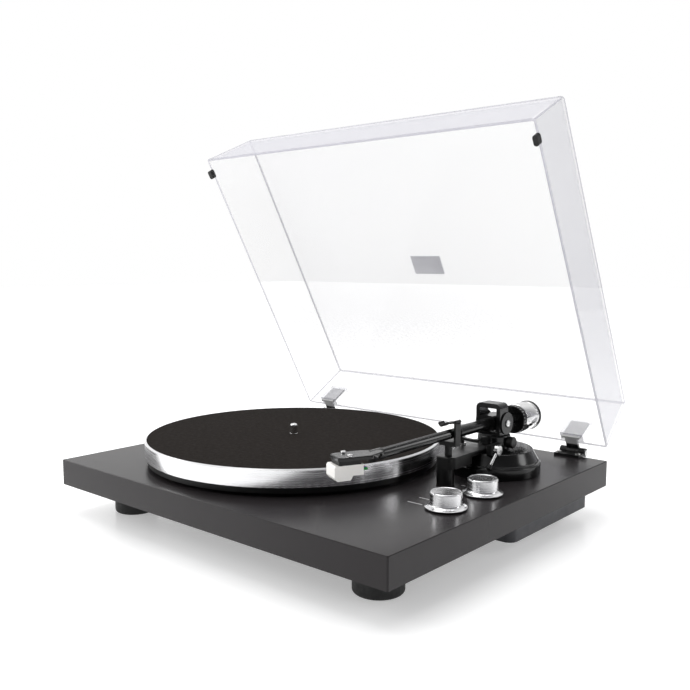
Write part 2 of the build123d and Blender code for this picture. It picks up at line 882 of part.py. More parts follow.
with BuildPart() as arm_base:
    with BuildSketch(pivot_front):
        with BuildLine():
            Polyline(
                (wire_hole, plinth_top),
                (base_radius, plinth_top),
                (base_radius, base_top - base_edge),
                (base_radius - base_edge, base_top),
                (cone_ledge_radius, base_top),
                (cone_ledge_radius, cone_ledge_top),
                (cone_top_radius, cone_top - 0.8),
                (cone_top_radius - 0.8, cone_top),
                (wire_hole, cone_top),
                close=True,
            )
        make_face()
    revolve(axis=pivot_axis)
write_node(arm_base, "arm_base")

with BuildPart() as arm_pillar:
    rod(level(pivot_x, pivot_y, cone_top), pillar_radius, pillar_top - cone_top)
    fillet(arm_pillar.edges().group_by(Axis.Z)[-1], radius=1.2)
    bore(level(pivot_x, pivot_y, cone_top), wire_hole, 20)
    bore(level(pivot_x, pivot_y, cone_top + 1.7), pillar_bearing_radius + fit_gap, 20)
    bore(across_x(pivot_y, side_knob_z, pivot_x + 9), 1.5 + running_gap, 10)
write_node(arm_pillar, "arm_pillar")

with BuildPart() as pillar_bearings:
    for z in (cone_top + 1.7, pillar_top - pillar_bearing_height - 0.5):
        with BuildSketch(level(pivot_x, pivot_y, z)):
            Circle(pillar_bearing_radius)
            Circle(arm_shaft_radius + running_gap, mode=Mode.SUBTRACT)
        extrude(amount=pillar_bearing_height)
write_node(pillar_bearings, "pillar_bearings")

with BuildPart() as anti_skate_knob:
    knob_face = pivot_x + pillar_radius + 0.4
    rod(across_x(pivot_y, side_knob_z, knob_face), side_knob_radius, side_knob_length)
    chamfer(anti_skate_knob.edges().group_by(Axis.X)[-1], length=0.6)
    rod(across_x(pivot_y, side_knob_z, pivot_x + 9.5), 1.5, knob_face - pivot_x - 9.5)
write_node(anti_skate_knob, "anti_skate_knob")

# ---------------------------------------------------------------------------------------------
# Tonearm: what turns about the upright axis
# ---------------------------------------------------------------------------------------------

yoke_opening = yoke_half_width - yoke_leg
yoke_floor_top = yoke_floor_bottom + yoke_floor

with BuildPart() as arm_yoke:
    with BuildSketch(across_y(pivot_x, 0, pivot_y - yoke_front)):
        with Locations((0, (yoke_floor_bottom + yoke_top) / 2)):
            outline = Rectangle(2 * yoke_half_width, yoke_top - yoke_floor_bottom)
        fillet(outline.vertices().group_by(Axis.Z)[-1], radius=5)
        with Locations((0, (yoke_floor_top + yoke_top - yoke_arch) / 2)):
            Rectangle(2 * yoke_opening, yoke_top - yoke_arch - yoke_floor_top, mode=Mode.SUBTRACT)
    extrude(amount=yoke_front - yoke_back)
    block(
        pivot_x - yoke_half_width,
        pivot_x + yoke_half_width,
        pivot_y - yoke_front,
        pivot_y + yoke_floor_back,
        yoke_floor_bottom,
        yoke_floor_top,
    )
    # Round ears that carry the pivot screws
    for start in (-yoke_half_width, yoke_opening):
        with BuildSketch(across_x(pivot_y, arm_level, pivot_x + start)):
            Circle(ear_radius)
            with Locations((0, -ear_radius)):
                Rectangle(2 * ear_radius, 2 * (yoke_floor_bottom - arm_level + ear_radius), mode=Mode.SUBTRACT)
        extrude(amount=yoke_leg)
    # Raised discs round the screws
    for start in (-yoke_half_width - cap_thickness, yoke_half_width):
        rod(across_x(pivot_y, arm_level, pivot_x + start), ear_radius - 0.5, cap_thickness)
    bore(
        across_x(pivot_y, arm_level, pivot_x - yoke_half_width - 2),
        pivot_screw_radius + fit_gap,
        2 * yoke_half_width + 4,
    )
    # Upright shaft that turns in the pillar's bearings, hollow for the arm's wires
    arm_shaft_length = yoke_floor_top - arm_shaft_bottom
    rod(level(pivot_x, pivot_y, arm_shaft_bottom), arm_shaft_radius, arm_shaft_length)
    bore(level(pivot_x, pivot_y, arm_shaft_bottom), 1.5, arm_shaft_length)
write_node(arm_yoke, "arm_yoke")

with BuildPart() as pivot_screws:
    screw_face = yoke_half_width + cap_thickness
    shank = screw_face - block_half_width + 3
    rod(across_x(pivot_y, arm_level, pivot_x + screw_face), pivot_screw_head, 1.3)
    rod(across_x(pivot_y, arm_level, pivot_x + screw_face - shank), pivot_screw_radius, shank)
    rod(across_x(pivot_y, arm_level, pivot_x - screw_face - 1.3), pivot_screw_head, 1.3)
    rod(across_x(pivot_y, arm_level, pivot_x - screw_face), pivot_screw_radius, shank)
write_node(pivot_screws, "pivot_screws")

# ---------------------------------------------------------------------------------------------
# Tonearm: what tilts
# ---------------------------------------------------------------------------------------------


def ahead(distance, rise=0.0):
    """A plane across the arm at a distance ahead of the pivot; extrusions run to the back."""
    return across_y(pivot_x, arm_level + rise, pivot_y - distance)


with BuildPart() as gimbal_block:
    block(
        pivot_x - block_half_width,
        pivot_x + block_half_width,
        pivot_y - block_front,
        pivot_y - block_back,
        arm_level + block_low,
        arm_level + block_high,
    )
    fillet(gimbal_block.edges().filter_by(Axis.Y), radius=2)
    for start in (-block_half_width - 1, block_half_width - 3.4):
        bore(
            across_x(pivot_y, arm_level, pivot_x + start),
            pivot_screw_radius + running_gap,
            4.4,
        )
    rod(ahead(block_back, -tail_drop), stub_radius, block_back - stub_end)
write_node(gimbal_block, "gimbal_block")

with BuildPart() as arm_tube:
    rod(ahead(sleeve_end), sleeve_radius, sleeve_end - block_front)
    chamfer(arm_tube.edges().group_by(Axis.Y)[0], length=0.5)
    rod(ahead(tube_end), tube_radius, tube_end - sleeve_end)
write_node(arm_tube, "arm_tube")

turn = radians(offset_angle)
shell_ahead = Vector(-sin(turn), -cos(turn), 0)
shell_aside = Vector(cos(turn), -sin(turn), 0)


def shell_plane(rise):
    """A level plane on the headshell; its X runs ahead along the offset line."""
    return Plane(
        origin=(pivot_x, pivot_y - bend_ahead, arm_level + rise),
        x_dir=shell_ahead,
        z_dir=(0, 0, 1),
    )


def shell_side(aside):
    """An upright plane along the offset line; its X runs ahead and its Y up."""
    foot_point = Vector(pivot_x, pivot_y - bend_ahead, arm_level) + shell_aside * aside
    return Plane(origin=foot_point, x_dir=shell_ahead, z_dir=-shell_aside)


screw_pair = [(cartridge_screw_place, side * cartridge_screw_spread / 2) for side in (-1, 1)]

with BuildPart() as headshell:
    with BuildSketch(shell_plane(shell_top - shell_thickness)):
        with BuildLine():
            Polyline(
                (-18, -5),
                (-3, -10),
                (21, -10),
                (24.5, -7.5),
                (24.5, 7.5),
                (21, 10),
                (-3, 10),
                (-18, 1),
                close=True,
            )
        make_face()
    extrude(amount=shell_thickness)
    fillet(headshell.edges().group_by(Axis.Z)[-1], radius=0.8)
    rod(ahead(collar_end), collar_radius, collar_end - tube_end)
    rod(ahead(tube_end), collar_radius, tube_end - collar_start)
    bore(ahead(tube_end), tube_radius + fit_gap, tube_end - collar_start)
    for u, v in screw_pair:
        with BuildSketch(shell_plane(-10)):
            with Locations((u, v)):
                Circle(1.3)
        extrude(amount=20, mode=Mode.SUBTRACT)
write_node(headshell, "headshell")

with BuildPart() as finger_lift:
    with BuildLine(shell_plane(3).offset(0)) as lift_path:
        FilletPolyline((-6, 9.4, 0), (-6, 16, 0), (-5, 22, 4.5), radius=4)
    with BuildSketch(Plane(origin=lift_path.wire() @ 0, z_dir=lift_path.wire() % 0)):
        Circle(1.1)
    sweep(path=lift_path.wire())
write_node(finger_lift, "finger_lift")

bracket_bottom = -2
with BuildPart() as cartridge_bracket:
    with BuildSketch(shell_plane(bracket_bottom)):
        with Locations((14, 0)):
            RectangleRounded(19, 16.6, 1.5)
        with Locations(*screw_pair):
            Circle(1.3, mode=Mode.SUBTRACT)
    extrude(amount=shell_top - shell_thickness - bracket_bottom)
write_node(cartridge_bracket, "cartridge_bracket")

cartridge_half_width = 8.2
with BuildPart() as cartridge:
    with BuildSketch(shell_side(cartridge_half_width)):
        with BuildLine():
            Polyline(
                (3, bracket_bottom),
                (26.5, bracket_bottom),
                (27.5, -3.5),
                (27.5, -11),
                (25, -14),
                (14, -14),
                (12, -10.5),
                (3, -10.5),
                close=True,
            )
        make_face()
    extrude(amount=2 * cartridge_half_width)
    for u, v in screw_pair:
        with BuildSketch(shell_plane(-7)):
            with Locations((u, v)):
                Circle(1.3)
        extrude(amount=7, mode=Mode.SUBTRACT)
write_node(cartridge, "cartridge")

with BuildPart() as cartridge_screws:
    for u, v in screw_pair:
        with BuildSketch(shell_plane(shell_top)):
            with Locations((u, v)):
                Circle(2.4)
        extrude(amount=1.7)
        with BuildSketch(shell_plane(-6)):
            with Locations((u, v)):
                Circle(1.2)
        extrude(amount=shell_top + 6.5)
write_node(cartridge_screws, "cartridge_screws")

with BuildPart() as stylus:
    with BuildSketch(shell_side(2.6)):
        with BuildLine():
            Polyline((14.2, -14), (23, -14), (21, -15.3), (15.5, -15.3), close=True)
        make_face()
    extrude(amount=5.2)
    with BuildSketch(shell_side(0.4)):
        with BuildLine():
            Polyline(
                (17, -14.8),
                (23.9, -16),
                (23.3, -17),
                (22.9, -16.2),
                (17, -15.3),
                close=True,
            )
        make_face()
    extrude(amount=0.8)
write_node(stylus, "stylus")

with BuildPart() as tail_shaft:
    rod(ahead(stub_end, -tail_drop), tail_radius, stub_end - tail_end)
    chamfer(tail_shaft.edges().group_by(Axis.Y)[-1], length=0.5)
write_node(tail_shaft, "tail_shaft")

# ---------------------------------------------------------------------------------------------
# Counterweight
# ---------------------------------------------------------------------------------------------


def weight_ring(front, back, outer, inner):
    """A ring about the tail shaft, between two places along it."""
    with BuildSketch(ahead(back, -tail_drop)) as section:
        Circle(outer)
        Circle(inner, mode=Mode.SUBTRACT)
    extrude(section.sketch, amount=back - front)


with BuildPart() as weight_bush:
    weight_ring(bush_front, bush_back, bush_radius, tail_radius + running_gap)
write_node(weight_bush, "weight_bush")

with BuildPart() as weight_dial:
    weight_ring(dial_front, dial_back, dial_radius, bush_radius + running_gap)
    chamfer(weight_dial.edges().group_by(Axis.Y)[0], length=0.6)
write_node(weight_dial, "weight_dial")

with BuildPart() as counterweight:
    weight_ring(weight_front, weight_back, weight_radius, bush_radius + running_gap)
    for groove in (-43, -60):
        with BuildSketch(ahead(groove, -tail_drop)):
            Circle(weight_radius + 1)
            Circle(weight_radius - 0.5, mode=Mode.SUBTRACT)
        extrude(amount=0.9, mode=Mode.SUBTRACT)
write_node(counterweight, "counterweight")

with BuildPart() as weight_end_ring:
    weight_ring(weight_back, end_ring_back, end_ring_radius, bush_radius + running_gap)
    chamfer(weight_end_ring.edges().group_by(Axis.Y)[-1], length=0.6)
write_node(weight_end_ring, "weight_end_ring")

# ---------------------------------------------------------------------------------------------
# Arm rest and its latch
# ---------------------------------------------------------------------------------------------

rest_front = rest_y - rest_width / 2
rest_back = rest_y + rest_width / 2

with BuildPart() as rest_support:
    block(
        bridge_left,
        bridge_right,
        bridge_front,
        bridge_back,
        bridge_step,
        bridge_top,
        round_corners=7,
    )
    block(
        bridge_left,
        bridge_right,
        bridge_front,
        pivot_y - base_radius - 2,
        bridge_bottom,
        bridge_step,
        round_corners=7,
    )
    fillet(rest_support.edges().group_by(Axis.Z)[-1], radius=1)
    rod(level(rest_post_x, rest_y, plinth_top), rest_post_radius, bridge_bottom - plinth_top)
    rod(level(rest_pin_x, rest_y - 1, bridge_top), rest_pin_radius, cradle_bottom - bridge_top)
write_node(rest_support, "rest_support")

latch_middle_front = rest_y - 1.8
latch_middle_back = rest_y + 1.8

with BuildPart() as rest_cradle:
    block(cradle_left, cradle_right, rest_front, rest_back, cradle_bottom, cradle_floor)
    block(cradle_left, cradle_left + 2.5, rest_front, rest_back, cradle_floor, cradle_lip)
    block(
        cradle_tab,
        cradle_right,
        rest_front,
        rest_back,
        cradle_floor,
        latch_z - latch_barrel_radius - 0.2,
    )
    for start, end in ((rest_front, latch_middle_front - 0.2), (latch_middle_back + 0.2, rest_back)):
        block(cradle_tab, cradle_right, start, end, latch_z - 3, latch_z)
        rod(across_y(latch_x, latch_z, start), latch_barrel_radius, end - start)
    bore(across_y(latch_x, latch_z, rest_front), latch_pin_radius + fit_gap, rest_width)
    # The latch's pin, a piece of its own in this node
    rod(across_y(latch_x, latch_z, rest_front - 0.5), latch_pin_radius, rest_width + 1)
write_node(rest_cradle, "rest_cradle")

# Wavy strip over the tube: (aside from the tube, above its centre)
latch_wave = [(6, 11), (2.5, 10.3), (-3, 9.8), (-6.4, 7.4), (-8.3, 6.4), (-10, 7.8), (-11.2, 9.6)]

with BuildPart() as rest_latch:
    for start, end, first, last in (
        (latch_middle_front, latch_middle_back, 0, 2),
        (rest_front, rest_back, 1, len(latch_wave)),
    ):
        # The plane faces forwards, so that its X runs along +X
        with BuildSketch(Plane(origin=(pivot_x, end, arm_level), x_dir=(1, 0, 0), z_dir=(0, -1, 0))):
            with BuildLine():
                if last - first > 2:
                    FilletPolyline(*latch_wave[first:last], radius=1.2)
                else:
                    Line(latch_wave[first], latch_wave[first + 1])
            trace(line_width=latch_strip)
        extrude(amount=end - start)
    rod(across_y(latch_x, latch_z, latch_middle_front), latch_barrel_radius, 2 * 1.8)
    bore(across_y(latch_x, latch_z, rest_front), latch_pin_radius + running_gap, rest_width)
write_node(rest_latch, "rest_latch")

# ---------------------------------------------------------------------------------------------
# Cue lever and lift
# ---------------------------------------------------------------------------------------------

lift_x = pivot_x + lift_radius * cos(radians(lift_angle))
lift_y = pivot_y + lift_radius * sin(radians(lift_angle))

with BuildPart() as lift_cylinder:
    rod(level(lift_x, lift_y, cone_top), lift_cylinder_radius - 1, 1)
    rod(level(lift_x, lift_y, cone_top + 0.4), lift_cylinder_radius, 6)
    bore(level(lift_x, lift_y, cone_top + 1), lift_plunger_radius + running_gap, 10)
write_node(lift_cylinder, "lift_cylinder")

with BuildPart() as lift_bar:
    with BuildSketch(Plane.XY.offset(lift_bar_bottom)):
        with BuildLine():
            CenterArc((pivot_x, pivot_y), lift_radius, 218, 58)
        trace(line_width=3)
        with Locations((lift_x, lift_y)):
            Circle(3)
    extrude(amount=lift_bar_height)
    rod(level(lift_x, lift_y, cone_top + 1.2), lift_plunger_radius, lift_bar_bottom - cone_top - 1.2)
write_node(lift_bar, "lift_bar")

with BuildPart() as cue_housing:
    block(cue_x - 7, cue_x - 0.3, cue_y - 6, cue_y + 12, cone_top + 0.2, cue_z + 4.5, round_corners=1.5)
    bore(across_x(cue_y, cue_z, cue_x - 5), 1.5 + running_gap, 10)
write_node(cue_housing, "cue_housing")

cue_lean = radians(cue_angle)
cue_direction = (0, -cos(cue_lean), -sin(cue_lean))
cue_middle = cue_x + cue_hub_width / 2


def along_cue(distance):
    """A plane across the cue lever's rod at a distance from its hub's axis."""
    point = Vector(cue_middle, cue_y, cue_z) + Vector(*cue_direction) * distance
    return Plane(origin=point, x_dir=(1, 0, 0), z_dir=cue_direction)


with BuildPart() as cue_lever:
    rod(across_x(cue_y, cue_z, cue_x), cue_hub_radius, cue_hub_width)
    rod(across_x(cue_y, cue_z, cue_x - 4.5), 1.5, 5)
    rod(along_cue(2), cue_rod_radius, cue_rod_length - 2)
write_node(cue_lever, "cue_lever")

with BuildPart() as cue_lever_tip:
    rod(along_cue(cue_rod_length), 2.1, 5)
    fillet(cue_lever_tip.edges(), radius=0.6)
write_node(cue_lever_tip, "cue_lever_tip")
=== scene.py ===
"""Looks of a belt-drive record player with an open dust cover.

Metres, +Z up, the floor at Z = 0 and the front at -Y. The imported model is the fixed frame, and
every piece made here takes its place from it.
"""

import logging
import math
from collections.abc import Sequence
from dataclasses import dataclass, field
from enum import Enum

import bpy
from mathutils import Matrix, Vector


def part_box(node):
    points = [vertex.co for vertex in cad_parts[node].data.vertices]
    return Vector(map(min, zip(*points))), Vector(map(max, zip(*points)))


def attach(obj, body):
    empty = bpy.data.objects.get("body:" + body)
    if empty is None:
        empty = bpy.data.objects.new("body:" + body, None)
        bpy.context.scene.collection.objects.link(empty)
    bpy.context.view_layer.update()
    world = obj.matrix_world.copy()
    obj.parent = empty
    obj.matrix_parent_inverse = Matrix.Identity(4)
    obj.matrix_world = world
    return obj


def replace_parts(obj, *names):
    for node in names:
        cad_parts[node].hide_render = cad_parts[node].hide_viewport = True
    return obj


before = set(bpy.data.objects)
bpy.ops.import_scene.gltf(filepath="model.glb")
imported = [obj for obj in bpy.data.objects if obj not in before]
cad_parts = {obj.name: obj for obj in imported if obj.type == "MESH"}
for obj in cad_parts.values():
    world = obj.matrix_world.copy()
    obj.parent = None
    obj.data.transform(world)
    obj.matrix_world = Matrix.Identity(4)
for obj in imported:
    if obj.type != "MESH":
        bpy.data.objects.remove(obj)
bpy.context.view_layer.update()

log = logging.getLogger("record_player")

MM = 0.001

# A noise pattern keeps mostly between these two values.
PATTERN_LOW = 0.3
PATTERN_HIGH = 0.7


# ---------------------------------------------------------------------------------------------
# Finishes
# ---------------------------------------------------------------------------------------------


class Graph:
    """A material's node tree with one Principled shader."""

    def __init__(self, name: str) -> None:
        """Start an empty material with its shader and output."""
        self.material = bpy.data.materials.new(name)
        self.material.use_nodes = True
        self.tree = self.material.node_tree
        self.shader = self.tree.nodes["Principled BSDF"]

    def node(self, kind: str, **settings: object) -> bpy.types.Node:
        """Add a node and set its properties.

        Args:
            kind: the node's type name.
            settings: property names and values.

        Returns:
            The new node.
        """
        made = self.tree.nodes.new(kind)
        for key, value in settings.items():
            setattr(made, key, value)
        return made

    def join(self, out: bpy.types.NodeSocket, into: bpy.types.NodeSocket) -> None:
        """Link one socket to another."""
        self.tree.links.new(out, into)

    def fix(self, **values: object) -> None:
        """Set constants on the shader's own sockets, by name with underscores for spaces."""
        for key, value in values.items():
            self.shader.inputs[key.replace("_", " ")].default_value = value

    def place(self, centre: Vector | None = None) -> bpy.types.NodeSocket:
        """Object coordinates, optionally counted from a centre.

        Args:
            centre: the point that becomes the pattern's origin.

        Returns:
            The vector socket.
        """
        coordinates = self.node("ShaderNodeTexCoord")
        if centre is None:
            return coordinates.outputs["Object"]
        mapping = self.node("ShaderNodeMapping")
        mapping.inputs["Location"].default_value = -centre
        self.join(coordinates.outputs["Object"], mapping.inputs["Vector"])
        return mapping.outputs["Vector"]

    def noise(
        self,
        scale: float,
        detail: float = 3.0,
        stretch: tuple[float, float, float] | None = None,
        vector: bpy.types.NodeSocket | None = None,
    ) -> bpy.types.NodeSocket:
        """A noise pattern on Object coordinates.

        Args:
            scale: pattern cells per metre.
            detail: octaves of finer noise.
            stretch: factors on X, Y and Z before the noise is read.
            vector: coordinates to use in place of the object's own.

        Returns:
            The pattern's value socket, from 0 to 1.
        """
        texture = self.node("ShaderNodeTexNoise")
        texture.inputs["Scale"].default_value = scale
        texture.inputs["Detail"].default_value = detail
        source = vector or self.place()
        if stretch is not None:
            mapping = self.node("ShaderNodeMapping")
            mapping.inputs["Scale"].default_value = stretch
            self.join(source, mapping.inputs["Vector"])
            source = mapping.outputs["Vector"]
        self.join(source, texture.inputs["Vector"])
        return texture.outputs["Fac"]

    def spread(
        self, value: bpy.types.NodeSocket, low: float, high: float
    ) -> bpy.types.NodeSocket:
        """Map a pattern's usual values to a new range.

        Args:
            value: the pattern.
            low: the result at the pattern's dark end.
            high: the result at its bright end.

        Returns:
            The mapped value socket.
        """
        span = self.node("ShaderNodeMapRange")
        span.inputs["From Min"].default_value = PATTERN_LOW
        span.inputs["From Max"].default_value = PATTERN_HIGH
        span.inputs["To Min"].default_value = low
        span.inputs["To Max"].default_value = high
        self.join(value, span.inputs["Value"])
        return span.outputs["Result"]

    def tint(
        self,
        value: bpy.types.NodeSocket,
        dark: tuple[float, float, float],
        light: tuple[float, float, float],
    ) -> None:
        """Colour the surface between two shades along a pattern."""
        ramp = self.node("ShaderNodeValToRGB")
        ramp.color_ramp.elements[0].position = PATTERN_LOW
        ramp.color_ramp.elements[0].color = (*dark, 1)
        ramp.color_ramp.elements[1].position = PATTERN_HIGH
        ramp.color_ramp.elements[1].color = (*light, 1)
        self.join(value, ramp.inputs["Fac"])
        self.join(ramp.outputs["Color"], self.shader.inputs["Base Color"])

    def bump(self, value: bpy.types.NodeSocket, height: float, strength: float = 0.5) -> None:
        """Raise the surface by a pattern.

        Args:
            value: the pattern.
            height: its full height in metres.
            strength: how much of it shows.
        """
        relief = self.node("ShaderNodeBump")
        relief.inputs["Distance"].default_value = height
        relief.inputs["Strength"].default_value = strength
        self.join(value, relief.inputs["Height"])
        self.join(relief.outputs["Normal"], self.shader.inputs["Normal"])


def shade(value: float) -> tuple[float, float, float]:
    """A neutral grey."""
    return (value, value, value)


@dataclass(frozen=True)
class Moulded:
    """Painted or moulded surface with a fine grain, slightly uneven in tone and gloss."""

    name: str
    dark: tuple[float, float, float]
    light: tuple[float, float, float]
    gloss: tuple[float, float] = (0.38, 0.5)
    grain: float = 1800.0
    relief: float = 0.00004
    coat: float = 0.0
    shine: float = 0.5

    def make(self) -> bpy.types.Material:
        """Build the material."""
        graph = Graph(self.name)
        graph.tint(graph.noise(26.0, 5.0), self.dark, self.light)
        graph.join(
            graph.spread(graph.noise(90.0, 4.0), *self.gloss), graph.shader.inputs["Roughness"]
        )
        graph.bump(graph.noise(self.grain, 2.0), self.relief)
        graph.fix(
            Coat_Weight=self.coat, Coat_Roughness=0.06, Specular_IOR_Level=self.shine
        )
        return graph.material


class Lines(Enum):
    """How a tool left its marks on metal."""

    ROUND_UPRIGHT = "around an upright axis"
    ROUND_ARM = "around the arm's axis"
    SCATTERED = "fine scratches all over"


@dataclass(frozen=True)
class Metal:
    """Bright metal with fine marks left by turning or polishing."""

    name: str
    tone: tuple[float, float, float]
    lines: Lines
    centre: tuple[float, float, float] = (0.0, 0.0, 0.0)
    gloss: tuple[float, float] = (0.12, 0.26)
    pitch: float = 2600.0
    relief: float = 0.00002

    def make(self) -> bpy.types.Material:
        """Build the material."""
        graph = Graph(self.name)
        place = graph.place(Vector(self.centre))
        if self.lines is Lines.SCATTERED:
            marks = graph.noise(self.pitch * 0.4, 4.0, (1.0, 0.15, 1.0), place)
        else:
            split = graph.node("ShaderNodeSeparateXYZ")
            graph.join(place, split.inputs["Vector"])
            along = "Z" if self.lines is Lines.ROUND_UPRIGHT else "Y"
            across = ("X", "Y") if self.lines is Lines.ROUND_UPRIGHT else ("X", "Z")
            flat = graph.node("ShaderNodeCombineXYZ")
            graph.join(split.outputs[across[0]], flat.inputs["X"])
            graph.join(split.outputs[across[1]], flat.inputs["Y"])
            radius = graph.node("ShaderNodeVectorMath", operation="LENGTH")
            graph.join(flat.outputs["Vector"], radius.inputs[0])
            rings = graph.node("ShaderNodeCombineXYZ")
            graph.join(radius.outputs["Value"], rings.inputs["X"])
            graph.join(split.outputs[along], rings.inputs["Y"])
            marks = graph.noise(self.pitch, 3.0, None, rings.outputs["Vector"])
        broad = graph.noise(14.0, 3.0)
        dark = tuple(channel * 0.9 for channel in self.tone)
        graph.tint(broad, dark, self.tone)
        graph.join(graph.spread(marks, *self.gloss), graph.shader.inputs["Roughness"])
        graph.bump(marks, self.relief)
        graph.fix(Metallic=1.0)
        return graph.material


@dataclass(frozen=True)
class Rubber:
    """Dull black rubber with a dusty bloom."""

    name: str
    base: float = 0.012
    bloom: float = 0.024

    def make(self) -> bpy.types.Material:
        """Build the material."""
        graph = Graph(self.name)
        graph.tint(graph.noise(120.0, 6.0), shade(self.base), shade(self.bloom))
        graph.join(
            graph.spread(graph.noise(300.0), 0.5, 0.72), graph.shader.inputs["Roughness"]
        )
        graph.bump(graph.noise(2400.0, 2.0), 0.00008)
        graph.fix(Specular_IOR_Level=0.35)
        return graph.material


@dataclass(frozen=True)
class MatFelt:
    """Dark brown-black platter mat: short fibres and soft clumps."""

    name: str
    centre: tuple[float, float, float]

    def make(self) -> bpy.types.Material:
        """Build the material."""
        graph = Graph(self.name)
        fibres = graph.noise(900.0, 6.0)
        graph.tint(fibres, (0.006, 0.0045, 0.0035), (0.016, 0.012, 0.010))
        clumps = graph.noise(240.0, 4.0)
        blend = graph.node("ShaderNodeMath", operation="ADD")
        graph.join(fibres, blend.inputs[0])
        graph.join(clumps, blend.inputs[1])
        graph.bump(blend.outputs["Value"], 0.0003, 0.7)
        graph.join(graph.spread(clumps, 0.82, 0.97), graph.shader.inputs["Roughness"])
        graph.fix(Specular_IOR_Level=0.08)
        return graph.material


@dataclass(frozen=True)
class ClearAcrylic:
    """Thin clear acrylic darkened by painted reflection at a glancing view, open rim and edges."""

    name: str
    clear: tuple[float, float, float]
    # The painted reflection's grey-violet colour.
    edge: tuple[float, float, float]
    hinge: tuple[float, float, float]
    upright: tuple[float, float, float]
    rim_height: float
    half_width: float = 208 * MM
    half_depth: float = 174.25 * MM
    roof: float = 70 * MM
    draft: float = 5.6 / 67
    flat_cover: float = 0.05
    # How strongly the painted reflection covers the sheet at a glancing view, at its rim and along
    # its edges.
    glancing_reflection_cover: float = 0.8
    rim_reflection_cover: float = 0.62
    rim_band: float = 0.4 * MM
    hinge_gap: float = 9 * MM
    edge_start: float = 1.9 * MM
    edge_end: float = 1.5 * MM
    edge_faint: float = 1.4
    edge_full: float = 1.9
    glance_blend: float = 0.32
    glance_start: float = 0.12

    @staticmethod
    def measure(
        graph: Graph, place: bpy.types.NodeSocket, axis: tuple[float, float, float]
    ) -> bpy.types.NodeSocket:
        """How far a point lies along an axis of the cover's own frame."""
        along = graph.node("ShaderNodeVectorMath", operation="DOT_PRODUCT")
        graph.join(place, along.inputs[0])
        along.inputs[1].default_value = axis
        return along.outputs["Value"]

    @staticmethod
    def combine(
        graph: Graph,
        operation: str,
        first: bpy.types.NodeSocket,
        second: bpy.types.NodeSocket | float,
    ) -> bpy.types.NodeSocket:
        """Work out one value from two.

        Args:
            graph: the material's graph.
            operation: the Math node's operation.
            first: the first value.
            second: the second value, a socket or a number.

        Returns:
            The result's socket.
        """
        maths = graph.node("ShaderNodeMath", operation=operation)
        graph.join(first, maths.inputs[0])
        if isinstance(second, float):
            maths.inputs[1].default_value = second
        else:
            graph.join(second, maths.inputs[1])
        return maths.outputs["Value"]

    @staticmethod
    def band(
        graph: Graph, value: bpy.types.NodeSocket, start: float, end: float
    ) -> bpy.types.NodeSocket:
        """Rise from 0 to 1 between two values."""
        span = graph.node("ShaderNodeMapRange", clamp=True)
        span.inputs["From Min"].default_value = start
        span.inputs["From Max"].default_value = end
        graph.join(value, span.inputs["Value"])
        return span.outputs["Result"]

    def last(self, size: float) -> tuple[float, float]:
        """Where the outer millimetres of a wall start and end."""
        return size - self.edge_start, size - self.edge_end

    def splayed(
        self, graph: Graph, value: bpy.types.NodeSocket, height: bpy.types.NodeSocket
    ) -> bpy.types.NodeSocket:
        """A distance from the middle, straightened for the walls' draft."""
        out = self.combine(graph, "ABSOLUTE", value, 0.0)
        lean = self.combine(graph, "MULTIPLY", height, self.draft)
        return self.combine(graph, "ADD", out, lean)

    def make(self) -> bpy.types.Material:
        """Build the material."""
        graph = Graph(self.name)
        smears = graph.noise(9.0, 5.0)
        # A Layer Weight paints the reflection: the sheet turns opaque and grey-violet where it is
        # seen at a glancing angle.
        reflection_weight = graph.node("ShaderNodeLayerWeight")
        reflection_weight.inputs["Blend"].default_value = self.glance_blend
        place = graph.place(Vector(self.hinge))
        height = self.measure(graph, place, self.upright)
        forward = self.measure(graph, place, (0.0, -self.upright[2], self.upright[1]))
        aside = self.measure(graph, place, (1.0, 0.0, 0.0))
        # The open rim and the lines where the walls meet get painted reflection as dark grey-violet
        # lines.
        rim = self.band(graph, height, self.rim_height + self.rim_band, self.rim_height)
        middle_line = self.combine(graph, "SUBTRACT", forward, self.half_depth + self.hinge_gap)
        walls = [
            self.band(graph, self.splayed(graph, aside, height), *self.last(self.half_width)),
            self.band(graph, self.splayed(graph, middle_line, height), *self.last(self.half_depth)),
            self.band(graph, height, *self.last(self.roof)),
        ]
        met = self.combine(
            graph, "ADD", self.combine(graph, "ADD", walls[0], walls[1]), walls[2]
        )
        corner_reflection = self.band(graph, met, self.edge_faint, self.edge_full)
        corner = self.combine(graph, "MAXIMUM", rim, corner_reflection)
        edges = self.combine(graph, "MULTIPLY", corner, self.rim_reflection_cover)
        cover = graph.node("ShaderNodeMapRange", clamp=True)
        cover.inputs["From Min"].default_value = self.glance_start
        cover.inputs["To Min"].default_value = self.flat_cover
        cover.inputs["To Max"].default_value = self.glancing_reflection_cover
        graph.join(reflection_weight.outputs["Facing"], cover.inputs["Value"])
        both = self.combine(graph, "MAXIMUM", cover.outputs["Result"], edges)
        graph.join(both, graph.shader.inputs["Alpha"])
        # The tint runs from clear to the painted reflection's colour.
        tone = graph.node("ShaderNodeMix", data_type="RGBA")
        tone.inputs["A"].default_value = (*self.clear, 1)
        tone.inputs["B"].default_value = (*self.edge, 1)
        graph.join(both, tone.inputs["Factor"])
        graph.join(tone.outputs["Result"], graph.shader.inputs["Base Color"])
        graph.join(graph.spread(smears, 0.02, 0.06), graph.shader.inputs["Roughness"])
        graph.bump(graph.noise(5.0, 1.0), 0.0002, 0.06)
        return graph.material


